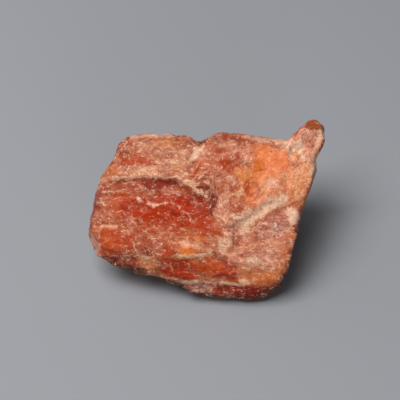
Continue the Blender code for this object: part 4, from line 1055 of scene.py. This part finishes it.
def stone_material():
    """Speckled, streaked mineral: sugary where the grain is high and waxy where it is glassy."""
    material = bpy.data.materials.new("triplite")
    nodes = Nodes(material)
    place = nodes.add("ShaderNodeTexCoord").outputs["Object"]
    tint = nodes.attribute("tint").outputs["Color"]
    grain = nodes.attribute("grain").outputs["Fac"]
    glass = nodes.attribute("glass").outputs["Fac"]
    side = nodes.attribute("side").outputs["Fac"]

    # The same places, a little astray, so that no line is straight
    inputs = {"Vector": place, "Scale": 1.0 / (0.5 * MM), "Detail": 4.0}
    wander = nodes.add("ShaderNodeTexNoise", inputs).outputs["Color"]
    inputs = {0: wander, 1: (0.7 * MM,) * 3, 2: place}
    bent = nodes.add("ShaderNodeVectorMath", inputs, operation="MULTIPLY_ADD").outputs["Vector"]

    # Clouds of deeper colour inside the mineral
    cloud = nodes.span(nodes.noise(place, 0.4, 3.0, 0.65), 0.5, 0.66)
    deep = nodes.mix("MULTIPLY", 1.0, tint, CLOUD)
    colour = nodes.towards(tint, deep, cloud, 0.5)

    # The same places again, squeezed along the streaks
    drawn = drawn_along_streaks(nodes, bent, side, STREAK_STRETCH)

    # Thin pale veins and dark cracks that come and go
    shown = nodes.span(nodes.noise(place, 0.9, 2.0), 0.5, 0.6)
    shown = nodes.times(shown, nodes.span(nodes.noise(place, 0.3, 1.0), 0.42, 0.52))
    pale_line = nodes.times(crack_lines(nodes, drawn, 0.8, 0.08), shown)
    dark_shown = nodes.span(nodes.noise(place, 1.0, 2.0), 0.5, 0.4)
    dark_line = crack_lines(nodes, shifted(nodes, drawn, (0.004, 0.009, 0.002)), 0.75, 0.08)
    dark_line = nodes.times(dark_line, dark_shown)

    # Pale sugar, in crowds
    crowd = nodes.span(nodes.noise(place, 0.9, 3.0), 0.42, 0.6, 0.1, 1.0)
    sugary = nodes.times(crowd, grain)
    pale_noise = nodes.noise(drawn, 0.2, 2.0, 0.75)
    pale_share = nodes.times(nodes.span(pale_noise, 0.53, 0.6), sugary)
    colour = nodes.towards(colour, opaque(SUGAR), pale_share, 0.35)

    # Dark crumbs
    dark_noise = nodes.noise(shifted(nodes, drawn, (0.013, 0.007, 0.021)), 0.24, 2.0, 0.75)
    dark_share = nodes.times(nodes.span(dark_noise, 0.54, 0.62), nodes.span(grain, 0.1, 0.6, 0.1, 1.0))
    dark_share = nodes.maths("MAXIMUM", dark_share, dark_line)
    darker = nodes.mix("MULTIPLY", 1.0, colour, CRUMB)
    colour = nodes.towards(colour, darker, dark_share, 0.6)

    # The finest sugar
    finest = nodes.span(nodes.noise(place, 0.11, 1.0), 0.3, 0.7, 0.72, 1.28)
    inputs = {"Red": finest, "Green": finest, "Blue": finest}
    finest_grey = nodes.add("ShaderNodeCombineColor", inputs).outputs["Color"]
    colour = nodes.mix("MULTIPLY", nodes.span(grain, 0.0, 1.0, 0.3, 1.0), colour, finest_grey)

    # Single grains: dark ones, then bright ones, painted glints of tiny facets, more of them where it is
    # sugary, and the veins
    dark_rarity = nodes.span(grain, 0.0, 1.0, 0.95, 0.86)
    dark_grain = flecks(nodes, shifted(nodes, drawn, (0.02, 0.05, 0.03)), 0.2, dark_rarity)
    darker = nodes.mix("MULTIPLY", 1.0, colour, DARK_GRAIN)
    colour = nodes.towards(colour, darker, dark_grain, 0.6)
    glints_and_veins = flecks(nodes, drawn, 0.2, nodes.span(sugary, 0.0, 1.0, 0.99, 0.86))
    small_rarity = nodes.span(sugary, 0.0, 1.0, 0.995, 0.86)
    small = flecks(nodes, shifted(nodes, bent, (0.01, 0.04, 0.02)), 0.19, small_rarity)
    glints_and_veins = nodes.maths("MAXIMUM", glints_and_veins, nodes.times(small, 0.8))
    glints_and_veins = nodes.times(glints_and_veins, nodes.span(glass, 0.4, 0.9, 1.0, 0.6))
    vein_share = nodes.times(pale_line, nodes.span(glass, 0.0, 1.0, 1.0, 0.25))
    glints_and_veins = nodes.maths("MAXIMUM", glints_and_veins, vein_share)
    colour = nodes.towards(colour, opaque(PAINTED_GLINT_AND_VEIN), glints_and_veins, 0.68)

    # Fine roughness, with the pale veins standing out a little
    bumps = nodes.maths("ADD", nodes.noise(place, 0.16, 3.0, 0.7), nodes.times(pale_line, 0.5))
    bump = nodes.add("ShaderNodeBump", {"Height": bumps, "Distance": 0.03 * MM})
    nodes.feed(bump.inputs["Strength"], nodes.span(grain, 0.0, 1.0, 0.25, 0.7))

    shader = nodes.shader
    nodes.feed(shader.inputs["Base Color"], colour)
    nodes.feed(shader.inputs["Roughness"], nodes.span(glass, 0.0, 1.0, 0.62, 0.4))
    nodes.feed(shader.inputs["Normal"], bump.outputs["Normal"])
    shader.inputs["IOR"].default_value = 1.5
    shader.inputs["Specular IOR Level"].default_value = 0.07
    shader.inputs["Subsurface Weight"].default_value = 0.15
    shader.inputs["Subsurface Radius"].default_value = (1.0, 0.35, 0.2)
    shader.inputs["Subsurface Scale"].default_value = 0.5 * MM
    return material


def make_floor():
    bpy.ops.mesh.primitive_plane_add(size=FLOOR_SIZE, location=(0.0, 0.0, 0.0))
    floor = bpy.context.object
    floor.name = "floor"
    material = bpy.data.materials.new("floor")
    material.use_nodes = True
    shader = material.node_tree.nodes["Principled BSDF"]
    shader.inputs["Base Color"].default_value = FLOOR_COLOUR
    shader.inputs["Roughness"].default_value = 0.8
    floor.data.materials.append(material)


def make_light(name, place, size, power):
    light = bpy.data.lights.new(name, "AREA")
    light.size = size
    light.energy = power
    light.color = LAMP_COLOUR
    lamp = bpy.data.objects.new(name, light)
    bpy.context.scene.collection.objects.link(lamp)
    lamp.location = place
    aim = Vector(LAMP_AIM) - lamp.location
    lamp.rotation_euler = aim.to_track_quat("-Z", "Y").to_euler()
    lamp.visible_camera = False


def make_world():
    world = bpy.data.worlds.new("studio")
    world.use_nodes = True
    background = world.node_tree.nodes["Background"]
    background.inputs["Color"].default_value = SKY_COLOUR
    background.inputs["Strength"].default_value = SKY_STRENGTH
    bpy.context.scene.world = world


def make_camera():
    """Looks along the page's line of sight, so that a millimetre of the page has its size in pixels."""
    half = PICTURE_PIXELS / 2.0
    aim_right = (half - MIDDLE_PIXEL[0]) / PIXELS_PER_MM
    aim_up = (MIDDLE_PIXEL[1] - half) / PIXELS_PER_MM
    distance = LENS * PICTURE_PIXELS / PIXELS_PER_MM / SENSOR
    place = PAGE_MIDDLE + aim_right * RIGHT + aim_up * UP + distance * NEAR
    data = bpy.data.cameras.new("camera")
    data.lens = LENS
    data.sensor_width = SENSOR
    data.clip_start = 0.001
    camera = bpy.data.objects.new("camera", data)
    bpy.context.scene.collection.objects.link(camera)
    turn = Matrix((RIGHT, UP, NEAR)).transposed().to_4x4()
    camera.matrix_world = Matrix.Translation(Vector(place * MM)) @ turn
    bpy.context.scene.camera = camera


def make_stone():
    stone = fine_copy(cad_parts["stone"])
    colour_surface(stone, shape_surface(stone))
    stone.data.materials.clear()
    stone.data.materials.append(stone_material())
    for face in stone.data.polygons:
        face.use_smooth = True
    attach(stone, "root")
    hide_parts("stone")


make_stone()
make_floor()
for name, lamp in LAMPS.items():
    make_light(name, *lamp)
make_world()
make_camera()
bpy.context.scene.view_settings.view_transform = "Standard"
